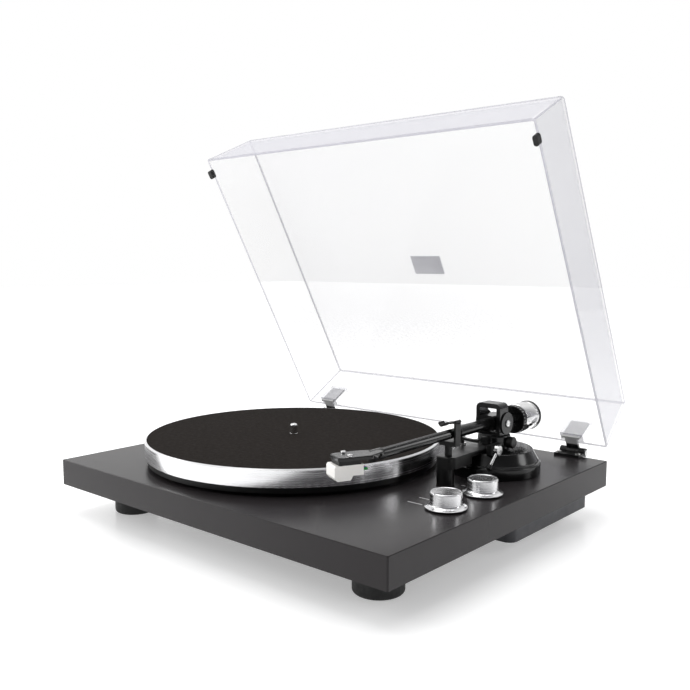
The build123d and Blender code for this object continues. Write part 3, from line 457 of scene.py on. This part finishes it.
@dataclass(frozen=True)
class TwoTone:
    """A moulding whose foot is dark and whose upper part is pale, with a soft change between."""

    name: str
    foot: float
    top: float
    change: float
    softness: float = 0.5 * MM

    def make(self) -> bpy.types.Material:
        """Build the material."""
        graph = Graph(self.name)
        height = graph.node("ShaderNodeSeparateXYZ")
        graph.join(graph.place(), height.inputs[0])
        blend = graph.node("ShaderNodeMapRange", clamp=True)
        blend.inputs["From Min"].default_value = self.change - self.softness
        blend.inputs["From Max"].default_value = self.change + self.softness
        graph.join(height.outputs["Z"], blend.inputs["Value"])
        speckle = graph.noise(400.0, 4.0)
        shades = graph.node("ShaderNodeMath", operation="MULTIPLY_ADD")
        graph.join(blend.outputs["Result"], shades.inputs[0])
        shades.inputs[1].default_value = self.top - self.foot
        graph.join(graph.spread(speckle, self.foot * 0.8, self.foot * 1.2), shades.inputs[2])
        graph.join(shades.outputs["Value"], graph.shader.inputs["Base Color"])
        graph.join(graph.spread(speckle, 0.25, 0.4), graph.shader.inputs["Roughness"])
        graph.bump(graph.noise(1500.0), 0.00003)
        return graph.material


@dataclass(frozen=True)
class Print:
    """Screen-printed ink with slightly uneven cover."""

    name: str
    tone: float

    def make(self) -> bpy.types.Material:
        """Build the material."""
        graph = Graph(self.name)
        graph.tint(graph.noise(2200.0, 4.0), shade(self.tone * 0.8), shade(self.tone))
        graph.join(graph.spread(graph.noise(700.0), 0.4, 0.6), graph.shader.inputs["Roughness"])
        return graph.material


# ---------------------------------------------------------------------------------------------
# Bench tools
# ---------------------------------------------------------------------------------------------


class Workpiece:
    """A mesh that is started from a primitive and shaped with the edit tools."""

    def __init__(self, name: str) -> None:
        """Take over the primitive that was just added."""
        self.object = bpy.context.object
        self.object.name = name
        self.object.data.name = name

    @staticmethod
    def clear() -> None:
        """Deselect everything before a primitive is added."""
        bpy.ops.object.select_all(action="DESELECT")

    @classmethod
    def box(
        cls, name: str, centre: Vector, size: Vector, turn: tuple[float, float, float] = (0, 0, 0)
    ) -> "Workpiece":
        """Add a box.

        Args:
            name: the piece's name.
            centre: its middle.
            size: its full size along its own axes.
            turn: its Euler angles in radians.

        Returns:
            The workpiece.
        """
        cls.clear()
        bpy.ops.mesh.primitive_cube_add(size=1, location=centre, rotation=turn, scale=size)
        bpy.ops.object.transform_apply(location=False, rotation=False, scale=True)
        return cls(name)

    @classmethod
    def turned(
        cls,
        name: str,
        foot: Vector,
        axis: Vector,
        profile: Sequence[tuple[float, float]],
        sides: int = 96,
    ) -> "Workpiece":
        """Turn a round piece by extruding and resizing a ring from point to point.

        A profile that ends where it starts makes a piece with a bore.

        Args:
            name: the piece's name.
            foot: the point on the axis that heights are counted from.
            axis: the axis, of length one.
            profile: radius and height of each point, in millimetres.
            sides: faces round it.

        Returns:
            The workpiece.
        """
        cls.clear()
        bored = profile[0] == profile[-1]
        radius, height = profile[0]
        bpy.ops.mesh.primitive_circle_add(
            vertices=sides,
            radius=radius * MM,
            fill_type="NOTHING" if bored else "NGON",
            location=foot + axis * height * MM,
            rotation=axis.to_track_quat("Z", "Y").to_euler(),
        )
        piece = cls(name)
        bpy.ops.object.mode_set(mode="EDIT")
        bpy.ops.mesh.select_all(action="SELECT")
        for (before, low), (after, high) in zip(profile, profile[1:]):
            step = axis * (high - low) * MM
            bpy.ops.mesh.extrude_region_move(TRANSFORM_OT_translate={"value": step})
            bpy.ops.transform.resize(
                value=(after / before,) * 3, center_override=foot + axis * high * MM
            )
        bpy.ops.mesh.select_all(action="SELECT")
        if bored:
            bpy.ops.mesh.remove_doubles(threshold=0.002 * MM)
        bpy.ops.mesh.normals_make_consistent(inside=False)
        bpy.ops.object.mode_set(mode="OBJECT")
        return piece

    def slotted(self, centre: Vector, size: Vector, turn: float = 0.0) -> None:
        """Cut a screwdriver slot.

        Args:
            centre: the middle of the cutter.
            size: the cutter's size.
            turn: its turn about Z in radians.
        """
        self.cut(Workpiece.box(f"{self.object.name}_cutter", centre, size, (0, 0, turn)))

    def soften(self, width: float, segments: int = 2, angle: float = 30.0) -> None:
        """Round every edge sharper than an angle.

        Args:
            width: the bevel's width.
            segments: its segments.
            angle: the smallest angle that is rounded, in degrees.
        """
        modifier = self.object.modifiers.new("edges", "BEVEL")
        modifier.width = width
        modifier.segments = segments
        modifier.limit_method = "ANGLE"
        modifier.angle_limit = math.radians(angle)
        self.apply(modifier)

    def cut(self, tool: "Workpiece") -> None:
        """Cut another workpiece out of this one and remove it."""
        modifier = self.object.modifiers.new("cut", "BOOLEAN")
        modifier.operation = "DIFFERENCE"
        modifier.solver = "EXACT"
        modifier.object = tool.object
        self.apply(modifier)
        bpy.data.objects.remove(tool.object, do_unlink=True)

    def apply(self, modifier: bpy.types.Modifier) -> None:
        """Apply one modifier."""
        self.clear()
        bpy.context.view_layer.objects.active = self.object
        self.object.select_set(True)
        bpy.ops.object.modifier_apply(modifier=modifier.name)

    def done(
        self, finish: bpy.types.Material, body: str, slot: str, smooth: float = 35.0
    ) -> bpy.types.Object:
        """Put the place into the mesh, dress the piece and hang it on its body.

        Args:
            finish: its material.
            body: the CAD body that it rides on.
            slot: a material slot's name; not used.
            smooth: edges under this angle are shaded smooth, in degrees.

        Returns:
            The finished object.
        """
        self.clear()
        bpy.context.view_layer.objects.active = self.object
        self.object.select_set(True)
        bpy.ops.object.transform_apply(location=True, rotation=True, scale=True)
        bpy.ops.object.shade_smooth_by_angle(angle=math.radians(smooth))
        self.object.data.materials.clear()
        self.object.data.materials.append(finish)
        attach(self.object, body)
        log.info("%s rides on %s", self.object.name, body)
        return self.object


def join_pieces(name: str, workpieces: Sequence[Workpiece]) -> Workpiece:
    """Join several workpieces into one mesh.

    Args:
        name: the joined piece's name.
        workpieces: what is joined.

    Returns:
        The joined workpiece.
    """
    Workpiece.clear()
    for workpiece in workpieces:
        workpiece.object.select_set(True)
    bpy.context.view_layer.objects.active = workpieces[0].object
    bpy.ops.object.join()
    return Workpiece(name)


def dress(finish: bpy.types.Material, *nodes: str) -> None:
    """Give CAD nodes a finish.

    Args:
        finish: the material.
        nodes: the nodes' names.
    """
    for name in nodes:
        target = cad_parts[name]
        if not target.material_slots:
            target.data.materials.append(finish)
        for material_slot in target.material_slots:
            material_slot.material = finish
        log.info("%s dressed in %s", name, finish.name)


def middle(node: str) -> Vector:
    """The centre of a node's box."""
    low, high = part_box(node)
    return (Vector(low) + Vector(high)) / 2


# ---------------------------------------------------------------------------------------------
# Studio
# ---------------------------------------------------------------------------------------------


@dataclass
class Studio:
    """Pale floor, soft lights and the camera."""

    camera_place: tuple[float, float, float] = (0.5415, -0.6366, 0.2547)
    camera_turn: float = 41.23
    camera_dip: float = 6.885
    bright_turn: float = 38.0
    lens: float = 42.76
    shift: tuple[float, float] = (0.0055, 0.0222)
    floor_size: float = 14.0
    floor_tone: float = 0.86
    floor_glow: float = 0.36
    bright_rise: float = 0.25
    aim_point: tuple[float, float, float] = (0.0, -0.02, 0.08)
    sensor_width: float = 36.0
    nearest: float = 0.02

    def floor(self) -> None:
        """Lay the floor."""
        Workpiece.clear()
        bpy.ops.mesh.primitive_plane_add(size=self.floor_size, location=(0, 0, 0))
        floor = bpy.context.object
        floor.name = "studio_floor"
        finish = Moulded(
            "studio_floor_paint",
            shade(self.floor_tone),
            shade(self.floor_tone + 0.02),
            gloss=(0.24, 0.3),
            relief=0.0,
        ).make()
        paint = finish.node_tree.nodes["Principled BSDF"]
        paint.inputs["Emission Color"].default_value = (1, 1, 1, 1)
        paint.inputs["Emission Strength"].default_value = self.floor_glow
        floor.data.materials.append(finish)

    def sky(self) -> None:
        """Light the room, bright at the back left and dark at the right; the camera sees white."""
        world = bpy.context.scene.world or bpy.data.worlds.new("room")
        bpy.context.scene.world = world
        bpy.context.scene.view_settings.view_transform = "Standard"
        world.use_nodes = True
        tree = world.node_tree
        tree.nodes.clear()
        output = tree.nodes.new("ShaderNodeOutputWorld")
        background = tree.nodes.new("ShaderNodeBackground")
        coordinates = tree.nodes.new("ShaderNodeTexCoord")
        towards = tree.nodes.new("ShaderNodeVectorMath")
        towards.operation = "DOT_PRODUCT"
        turn = math.radians(self.camera_turn + self.bright_turn)
        towards.inputs[1].default_value = (-math.sin(turn), math.cos(turn), self.bright_rise)
        ramp = tree.nodes.new("ShaderNodeValToRGB")
        ramp.color_ramp.elements[0].position = 0.35
        ramp.color_ramp.elements[0].color = (0.2, 0.2, 0.21, 1)
        ramp.color_ramp.elements[1].position = 0.66
        ramp.color_ramp.elements[1].color = (1.0, 1.0, 1.0, 1)
        scale = tree.nodes.new("ShaderNodeMapRange")
        scale.inputs["From Min"].default_value = -1.0
        tree.links.new(coordinates.outputs["Generated"], towards.inputs[0])
        tree.links.new(towards.outputs["Value"], scale.inputs["Value"])
        tree.links.new(scale.outputs["Result"], ramp.inputs["Fac"])
        seen = tree.nodes.new("ShaderNodeLightPath")
        shown = tree.nodes.new("ShaderNodeMix")
        shown.data_type = "RGBA"
        shown.inputs["B"].default_value = (1, 1, 1, 1)
        tree.links.new(seen.outputs["Is Camera Ray"], shown.inputs["Factor"])
        tree.links.new(ramp.outputs["Color"], shown.inputs["A"])
        tree.links.new(shown.outputs["Result"], background.inputs["Color"])
        tree.links.new(background.outputs["Background"], output.inputs["Surface"])
        background.inputs["Strength"].default_value = 1.0

    def light(
        self, name: str, place: Sequence[float], size: Sequence[float], power: float
    ) -> None:
        """Hang one soft box that points at the player.

        Args:
            name: the light's name.
            place: where it hangs.
            size: its width and height.
            power: its power in watts.
        """
        data = bpy.data.lights.new(name, "AREA")
        data.shape = "RECTANGLE"
        data.size, data.size_y = size
        data.energy = power
        lamp = bpy.data.objects.new(name, data)
        bpy.context.collection.objects.link(lamp)
        lamp.location = place
        aim = Vector(self.aim_point) - Vector(place)
        lamp.rotation_euler = aim.to_track_quat("-Z", "Y").to_euler()

    def camera(self) -> None:
        """Set up the camera."""
        data = bpy.data.cameras.new("camera")
        data.lens = self.lens
        data.sensor_width = self.sensor_width
        data.shift_x, data.shift_y = self.shift
        data.clip_start = self.nearest
        eye = bpy.data.objects.new("camera", data)
        bpy.context.collection.objects.link(eye)
        eye.location = self.camera_place
        eye.rotation_euler = (
            math.radians(90 - self.camera_dip),
            0,
            math.radians(self.camera_turn),
        )
        bpy.context.scene.camera = eye

    def build(self) -> None:
        """Make the whole studio."""
        self.floor()
        self.sky()
        self.light("overhead", (-0.35, 0.2, 1.7), (1.6, 1.2), 16)
        self.light("left_front", (-1.5, -1.1, 0.9), (0.9, 0.7), 12)
        self.light("right_back", (1.4, 0.9, 0.8), (0.5, 0.9), 7)
        self.camera()


# ---------------------------------------------------------------------------------------------
# Finish shelf
# ---------------------------------------------------------------------------------------------


@dataclass
class Shelf:
    """The finishes that several sub-assemblies share."""

    spindle: Vector = field(default_factory=lambda: middle("record_spindle"))
    tail: Vector = field(default_factory=lambda: middle("tail_shaft"))
    opening: float = math.radians(60.8)
    hinge: tuple[float, float, float] = (0.0, 156.5 * MM, 57.5 * MM)
    rim_height: float = 3.0 * MM
    leaf_change: float = 66 * MM
    made: dict[str, bpy.types.Material] = field(default_factory=dict)

    def __post_init__(self) -> None:
        """Make each finish once."""
        turned = (self.spindle.x, self.spindle.y, 0.0)
        arm = tuple(self.tail)
        for finish in (
            Moulded(
                "plinth_finish",
                (0.0205, 0.018, 0.019),
                (0.0215, 0.019, 0.02),
                (0.245, 0.265),
                2600,
                0.000004,
                shine=0.2,
            ),
            Moulded("black_board", shade(0.02), shade(0.03), (0.6, 0.8), 500, 0.00012),
            Moulded(
                "tray_plastic", (0.016, 0.017, 0.022), (0.021, 0.022, 0.029), (0.36, 0.5), 2200
            ),
            Moulded("black_plastic", shade(0.003), shade(0.006), (0.28, 0.4), 1500, shine=0.28),
            Moulded(
                "gloss_black", shade(0.002), shade(0.004), (0.16, 0.24), 500, 0.00001, 0.12, 0.34
            ),
            Moulded("hub_plastic", shade(0.02), shade(0.03), (0.45, 0.6), 900),
            Moulded("cream_plastic", (0.92, 0.90, 0.86), (0.97, 0.96, 0.93), (0.25, 0.38), 900),
            Moulded("badge_plate", (0.74, 0.74, 0.78), (0.86, 0.86, 0.9), (0.3, 0.5), 2600),
            Moulded("circuit_board", (0.01, 0.10, 0.035), (0.02, 0.16, 0.06), (0.25, 0.4), 350),
            Moulded("components", shade(0.02), shade(0.035), (0.4, 0.6), 1200),
            Moulded("collar_plastic", (0.45, 0.02, 0.015), (0.55, 0.035, 0.03), (0.25, 0.35), 900),
            Metal(
                "polished_aluminium", (0.86, 0.86, 0.87), Lines.ROUND_UPRIGHT, turned, (0.14, 0.3)
            ),
            Metal("bright_metal", shade(0.78), Lines.SCATTERED, gloss=(0.12, 0.22)),
            Metal("bearing_steel", shade(0.62), Lines.SCATTERED, gloss=(0.18, 0.3)),
            Metal("zinc_screws", (0.62, 0.62, 0.6), Lines.SCATTERED, gloss=(0.25, 0.4)),
            Metal("motor_can", shade(0.5), Lines.SCATTERED, gloss=(0.28, 0.42)),
            Metal("turned_brass", (0.72, 0.53, 0.25), Lines.ROUND_UPRIGHT, turned, (0.2, 0.32)),
            Metal(
                "weight_chrome", shade(0.83), Lines.ROUND_ARM, arm, (0.05, 0.12), 1500, 0.0000015
            ),
            Metal("plated_contacts", (0.83, 0.66, 0.3), Lines.SCATTERED, gloss=(0.15, 0.25)),
            Rubber("foot_rubber"),
            Rubber("belt_rubber", 0.01, 0.018),
            MatFelt("mat_felt", turned),
            ClearAcrylic(
                "clear_acrylic",
                (0.92, 0.92, 0.94),
                # The painted reflection's grey-violet colour.
                (0.22, 0.21, 0.31),
                self.hinge,
                (0.0, math.sin(self.opening), math.cos(self.opening)),
                self.rim_height,
            ),
            TwoTone("hinge_plastic", 0.004, 0.5, self.leaf_change),
            Moulded("lead_white", shade(0.7), shade(0.8), (0.4, 0.5), 2000),
            Moulded("lead_red", (0.5, 0.01, 0.01), (0.6, 0.02, 0.02), (0.4, 0.5), 2000),
            Moulded("lead_blue", (0.01, 0.04, 0.4), (0.02, 0.06, 0.5), (0.4, 0.5), 2000),
            Moulded("lead_green", (0.01, 0.25, 0.04), (0.02, 0.32, 0.06), (0.4, 0.5), 2000),
            Print("white_print", 0.75),
        ):
            self.made[finish.name] = finish.make()

    def __getitem__(self, name: str) -> bpy.types.Material:
        """The finish of that name."""
        return self.made[name]


# ---------------------------------------------------------------------------------------------
# Sub-assemblies
# ---------------------------------------------------------------------------------------------


@dataclass
class Chassis:
    """Plinth, feet, covers, tray and what they hold."""

    shelf: Shelf
    socket_height: float = 22.6
    socket_inset: float = 5.0
    insulator_radius: float = 3.3
    insulator_bore: float = 1.7

    def dress(self) -> None:
        """Dress the CAD nodes."""
        dress(self.shelf["plinth_finish"], "plinth")
        dress(self.shelf["black_board"], "bottom_cover")
        dress(self.shelf["foot_rubber"], "feet")
        dress(self.shelf["zinc_screws"], "bottom_screws", "deck_screws")
        dress(self.shelf["tray_plastic"], "electronics_tray")
        dress(self.shelf["circuit_board"], "main_board")
        dress(self.shelf["components"], "board_components", "rotary_switches")
        dress(self.shelf["plated_contacts"], "phono_sockets")
        dress(self.shelf["collar_plastic"], "socket_collars")
        dress(self.shelf["black_plastic"], "dc_inlet", "level_slider", "cue_housing")
        dress(self.shelf["white_print"], "index_marks")

    def insulators(self) -> None:
        """Press a white insulator into the face of each phono socket."""
        low, high = (Vector(corner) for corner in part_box("phono_sockets"))
        rim = self.insulator_radius
        bore = self.insulator_bore
        inset = self.socket_inset * MM
        for side, x in (("left", low.x + inset), ("right", high.x - inset)):
            piece = Workpiece.turned(
                f"socket_insulator_{side}",
                Vector((x, high.y, self.socket_height * MM)),
                Vector((0, 1, 0)),
                (
                    (bore, 0.02), (bore, 0.3), (rim - 0.3, 0.3),
                    (rim, 0.02), (bore, 0.02),
                ),
                48,
            )
            piece.soften(0.05 * MM)
            piece.done(self.shelf["lead_white"], "root", "collar_plastic")

    def build(self) -> None:
        """Dress the chassis and fit the insulators."""
        self.dress()
        self.insulators()


@dataclass
class PlatterGroup:
    """Platter, mat, hub, spindle, bearing, motor and belt."""

    shelf: Shelf

    def dress(self) -> None:
        """Dress the CAD nodes."""
        dress(self.shelf["polished_aluminium"], "platter")
        dress(self.shelf["black_plastic"], "platter_skirt")
        dress(self.shelf["mat_felt"], "platter_mat")
        dress(self.shelf["hub_plastic"], "drive_hub")
        dress(self.shelf["bright_metal"], "record_spindle")
        dress(self.shelf["turned_brass"], "bearing_housing", "motor_pulley")
        dress(self.shelf["bearing_steel"], "thrust_ball", "pillar_bearings")
        dress(self.shelf["motor_can"], "motor")
        dress(self.shelf["belt_rubber"], "drive_belt")

    def build(self) -> None:
        """Dress the platter group."""
        self.dress()


@dataclass
class Controls:
    """The two selector knobs, turned from bar with a flared skirt and a dished top."""

    shelf: Shelf
    height: float = 13.5
    flange: float = 17.5
    cap: float = 13.25
    shaft: float = 3.0

    def knob(self, node: str, body: str) -> None:
        """Turn one knob.

        Args:
            node: the CAD knob that it stands for.
            body: the body that it rides on.
        """
        low, high = (Vector(corner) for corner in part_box(node))
        axis_point = Vector(((low.x + high.x) / 2, (low.y + high.y) / 2, high.z))
        foot = axis_point - Vector((0, 0, self.height * MM))
        finish = Metal(
            f"{node}_aluminium",
            (0.80, 0.80, 0.81),
            Lines.ROUND_UPRIGHT,
            (foot.x, foot.y, 0.0),
            (0.16, 0.3),
            3200.0,
            0.000006,
        )
        shaft_foot = (low.z - foot.z) / MM
        piece = Workpiece.turned(
            f"{node}_turned",
            foot,
            Vector((0, 0, 1)),
            (
                (self.shaft, shaft_foot),
                (self.shaft, 0.0),
                (self.flange - 0.4, 0.0),
                (self.flange, 0.4),
                (self.flange, 1.0),
                (self.flange - 1.6, 1.35),
                (self.cap + 1.2, 2.1),
                (self.cap + 0.3, 2.9),
                (self.cap, 3.8),
                (self.cap, self.height - 0.8),
                (self.cap - 0.8, self.height),
                (self.cap - 1.5, self.height),
                (self.cap - 1.8, self.height - 0.35),
                (0.4, self.height - 0.25),
            ),
        )
        piece.soften(0.12 * MM, 2, 24)
        knob = piece.done(finish.make(), body, "spun_aluminium")
        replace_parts(knob, node)

    def build(self) -> None:
        """Turn both knobs."""
        self.knob("front_knob", "front_selector")
        self.knob("back_knob", "back_selector")


@dataclass
class Tonearm:
    """The arm with its base, rest, lift and counterweight."""

    shelf: Shelf
    offset: float = math.radians(25)
    screw_spacing: float = 12.7 * MM
    screw_from_back: float = 10.8 * MM
    mark_count: int = 28
    long_mark: float = 3.4
    short_mark: float = 1.8
    mark_start: float = 0.6
    mark_width: float = 0.32
    mark_rise: float = 0.12
    sleeve_end: float = -21 * MM
    slot_turn: float = math.radians(40)
    pin_pitch: float = 2.6
    pin_drop: float = 5.0

    @property
    def ahead(self) -> Vector:
        """The headshell's forward direction."""
        return Vector((-math.sin(self.offset), -math.cos(self.offset), 0))

    @property
    def aside(self) -> Vector:
        """The headshell's direction to the right."""
        return Vector((math.cos(self.offset), -math.sin(self.offset), 0))

    def dress(self) -> None:
        """Dress the CAD nodes."""
        gloss = ("arm_base", "arm_pillar", "arm_yoke", "gimbal_block", "arm_tube", "headshell")
        dress(self.shelf["gloss_black"], *gloss, "finger_lift", "weight_end_ring")
        dress(
            self.shelf["black_plastic"],
            "rest_support",
            "rest_cradle",
            "rest_latch",
            "lift_bar",
            "cue_lever_tip",
            "cartridge_bracket",
            "stylus",
            "anti_skate_knob",
            "weight_bush",
        )
        dress(self.shelf["gloss_black"], "weight_dial")
        dress(self.shelf["bright_metal"], "tail_shaft", "lift_cylinder")
        dress(self.shelf["bearing_steel"], "cue_lever")
        dress(self.shelf["cream_plastic"], "cartridge")

    def base(self) -> None:
        """Turn the base: a disc, a ledge and a cone round the wire hole."""
        low, high = (Vector(corner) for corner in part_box("arm_base"))
        foot = Vector(((low.x + high.x) / 2, (low.y + high.y) / 2, low.z))
        tall = (high.z - low.z) / MM
        piece = Workpiece.turned(
            "arm_base_turned",
            foot,
            Vector((0, 0, 1)),
            (
                (4.0, 0.0), (44.1, 0.0), (44.5, 0.4), (44.5, 9.8), (43.5, 10.9),
                (42.2, 11.1), (42.2, 12.9), (41.6, 13.5), (36.9, tall - 0.5),
                (36.3, tall), (4.0, tall), (4.0, 0.0),
            ),
            128,
        )
        piece.soften(0.25 * MM, 3, 20)
        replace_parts(piece.done(self.shelf["gloss_black"], "root", "gloss_black"), "arm_base")

    def tube(self) -> None:
        """Turn the arm's tube with the thicker sleeve at its pivot end."""
        low, high = (Vector(corner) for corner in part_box("arm_tube"))
        foot = Vector(((low.x + high.x) / 2, high.y, (low.z + high.z) / 2))
        long = (high.y - low.y) / MM
        sleeve = (high.y - self.sleeve_end) / MM
        piece = Workpiece.turned(
            "arm_tube_turned",
            foot,
            Vector((0, -1, 0)),
            (
                (3.3, 0.0), (4.9, 0.0), (5.25, 0.35), (5.25, sleeve - 0.9), (4.9, sleeve - 0.2),
                (4.3, sleeve), (4.3, long), (3.3, long), (3.3, 0.0),
            ),
        )
        piece.soften(0.1 * MM, 2, 24)
        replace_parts(piece.done(self.shelf["gloss_black"], "arm", "gloss_black"), "arm_tube")

    def weight(self) -> None:
        """Turn the counterweight with its bore and rounded ends."""
        low, high = (Vector(corner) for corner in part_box("counterweight"))
        foot = Vector(((low.x + high.x) / 2, low.y, (low.z + high.z) / 2))
        wide = (high.x - low.x) / 2 / MM
        long = (high.y - low.y) / MM
        piece = Workpiece.turned(
            "counterweight_turned",
            foot,
            Vector((0, 1, 0)),
            (
                (5.15, 0.0), (wide - 0.6, 0.0), (wide, 0.6), (wide, long - 4.2),
                (wide - 0.25, long - 4.0), (wide - 0.25, long - 3.6), (wide, long - 3.4),
                (wide, long - 0.6), (wide - 0.6, long), (5.15, long), (5.15, 0.0),
            ),
        )
        piece.soften(0.12 * MM, 2, 24)
        weight = piece.done(self.shelf["weight_chrome"], "weight", "weight_chrome")
        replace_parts(weight, "counterweight")

    def dial_marks(self) -> None:
        """Stand a ring of marks on the force dial, every fourth one long."""
        low, high = (Vector(corner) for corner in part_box("weight_dial"))
        axis_point = (low + high) / 2
        radius = (high.x - low.x) / 2
        marks = []
        for place in range(self.mark_count):
            angle = math.tau * place / self.mark_count
            long = (self.long_mark if place % 4 == 0 else self.short_mark) * MM
            out = Vector((math.sin(angle), 0, math.cos(angle)))
            centre = axis_point + out * radius
            centre.y = low.y + self.mark_start * MM + long / 2
            mark = Workpiece.box(
                f"dial_mark_{place}",
                centre,
                Vector((self.mark_width * MM, long, self.mark_rise * MM)),
                (0, angle, 0),
            )
            mark.soften(0.03 * MM, 1)
            marks.append(mark)
        ring = join_pieces("dial_marks", marks)
        ring.done(self.shelf["white_print"], "force_dial", "white_print")

    def pivot_heads(self) -> None:
        """Turn the slotted pivot screws at both sides of the yoke."""
        low, high = (Vector(corner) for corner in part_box("pivot_screws"))
        level = (low + high) / 2
        screws = []
        for side, end in ((1, high.x), (-1, low.x)):
            foot = Vector((end, level.y, level.z))
            screw = Workpiece.turned(
                f"pivot_screw_{side}",
                foot,
                Vector((side, 0, 0)),
                ((1.5, -4.0), (1.5, -1.3), (3.4, -1.3), (3.4, -0.4), (3.0, 0.0), (0.3, 0.0)),
                48,
            )
            screw.slotted(foot, Vector((1.2, 9.0, 0.8)) * MM)
            screw.soften(0.05 * MM, 1)
            screws.append(screw)
        pair = join_pieces("pivot_screws_slotted", screws)
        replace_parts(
            pair.done(self.shelf["bright_metal"], "arm_carrier", "bright_metal"), "pivot_screws"
        )

    def cartridge_fixings(self) -> None:
        """Turn the two slotted screws that hold the cartridge."""
        low, high = (Vector(corner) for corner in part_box("cartridge_screws"))
        centre = (low + high) / 2
        top = high.z
        long = (high.z - low.z) / MM
        screws = []
        for side in (-1, 1):
            place = centre + self.aside * side * self.screw_spacing / 2
            foot = Vector((place.x, place.y, top))
            screw = Workpiece.turned(
                f"cartridge_screw_{side}",
                foot,
                Vector((0, 0, 1)),
                (
                    (1.2, -long), (1.2, -1.6), (2.1, -1.6), (2.1, -0.3), (1.8, 0.0), (0.2, 0.0),
                ),
                40,
            )
            screw.slotted(foot, Vector((6.0, 0.55, 1.2)) * MM, self.slot_turn)
            screw.soften(0.04 * MM, 1)
            screws.append(screw)
        pair = join_pieces("cartridge_screws_slotted", screws)
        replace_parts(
            pair.done(self.shelf["bright_metal"], "arm", "bright_metal"), "cartridge_screws"
        )

    def terminals(self) -> None:
        """Set the four contact pins at the back of the cartridge, each with its coloured sleeve."""
        low, high = (Vector(corner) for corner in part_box("cartridge_screws"))
        screws = (low + high) / 2
        back = screws - self.ahead * self.screw_from_back
        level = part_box("cartridge")[1][2] - self.pin_drop * MM
        colours = ("white", "red", "blue", "green")
        middle_place = (len(colours) - 1) / 2
        pins = []
        for place, colour in enumerate(colours):
            start = back + self.aside * (place - middle_place) * self.pin_pitch * MM
            foot = Vector((start.x, start.y, level))
            pins.append(
                Workpiece.turned(
                    f"pin_{colour}",
                    foot,
                    -self.ahead,
                    ((0.5, -1.0), (0.5, 1.0), (0.62, 1.2), (0.5, 1.4), (0.5, 2.6), (0.2, 2.9)),
                    24,
                )
            )
            sleeve = Workpiece.turned(
                f"lead_sleeve_{colour}",
                foot,
                -self.ahead,
                (
                    (0.55, 1.5), (0.95, 1.5), (1.05, 1.8), (1.05, 4.6), (0.8, 5.2),
                    (0.55, 5.2), (0.55, 1.5),
                ),
                24,
            )
            sleeve.soften(0.05 * MM, 1)
            sleeve.done(self.shelf[f"lead_{colour}"], "arm", "components")
        contacts = join_pieces("cartridge_pins", pins)
        contacts.done(self.shelf["plated_contacts"], "arm", "plated_contacts")

    def build(self) -> None:
        """Dress the tonearm and fit its fine pieces."""
        self.dress()
        self.base()
        self.tube()
        self.weight()
        self.dial_marks()
        self.pivot_heads()
        self.cartridge_fixings()
        self.terminals()


@dataclass
class DustCover:
    """Clear cover, its badge, buffers and hinges."""

    shelf: Shelf

    def dress(self) -> None:
        """Dress the CAD nodes."""
        dress(self.shelf["clear_acrylic"], "dust_cover")
        dress(self.shelf["badge_plate"], "cover_badge")
        dress(self.shelf["foot_rubber"], "cover_buffers")
        dress(self.shelf["black_plastic"], "hinge_bases")
        dress(self.shelf["hinge_plastic"], "hinge_leaves")
        dress(self.shelf["bearing_steel"], "hinge_pins")

    def build(self) -> None:
        """Dress the cover."""
        self.dress()


def main() -> None:
    """Build the studio and every sub-assembly."""
    logging.basicConfig(level=logging.INFO, format="%(name)s: %(message)s")
    Studio().build()
    shelf = Shelf()
    for group in (Chassis, PlatterGroup, Controls, Tonearm, DustCover):
        group(shelf).build()
        log.info("%s is built", group.__name__)


if __name__ == "__main__":
    main()
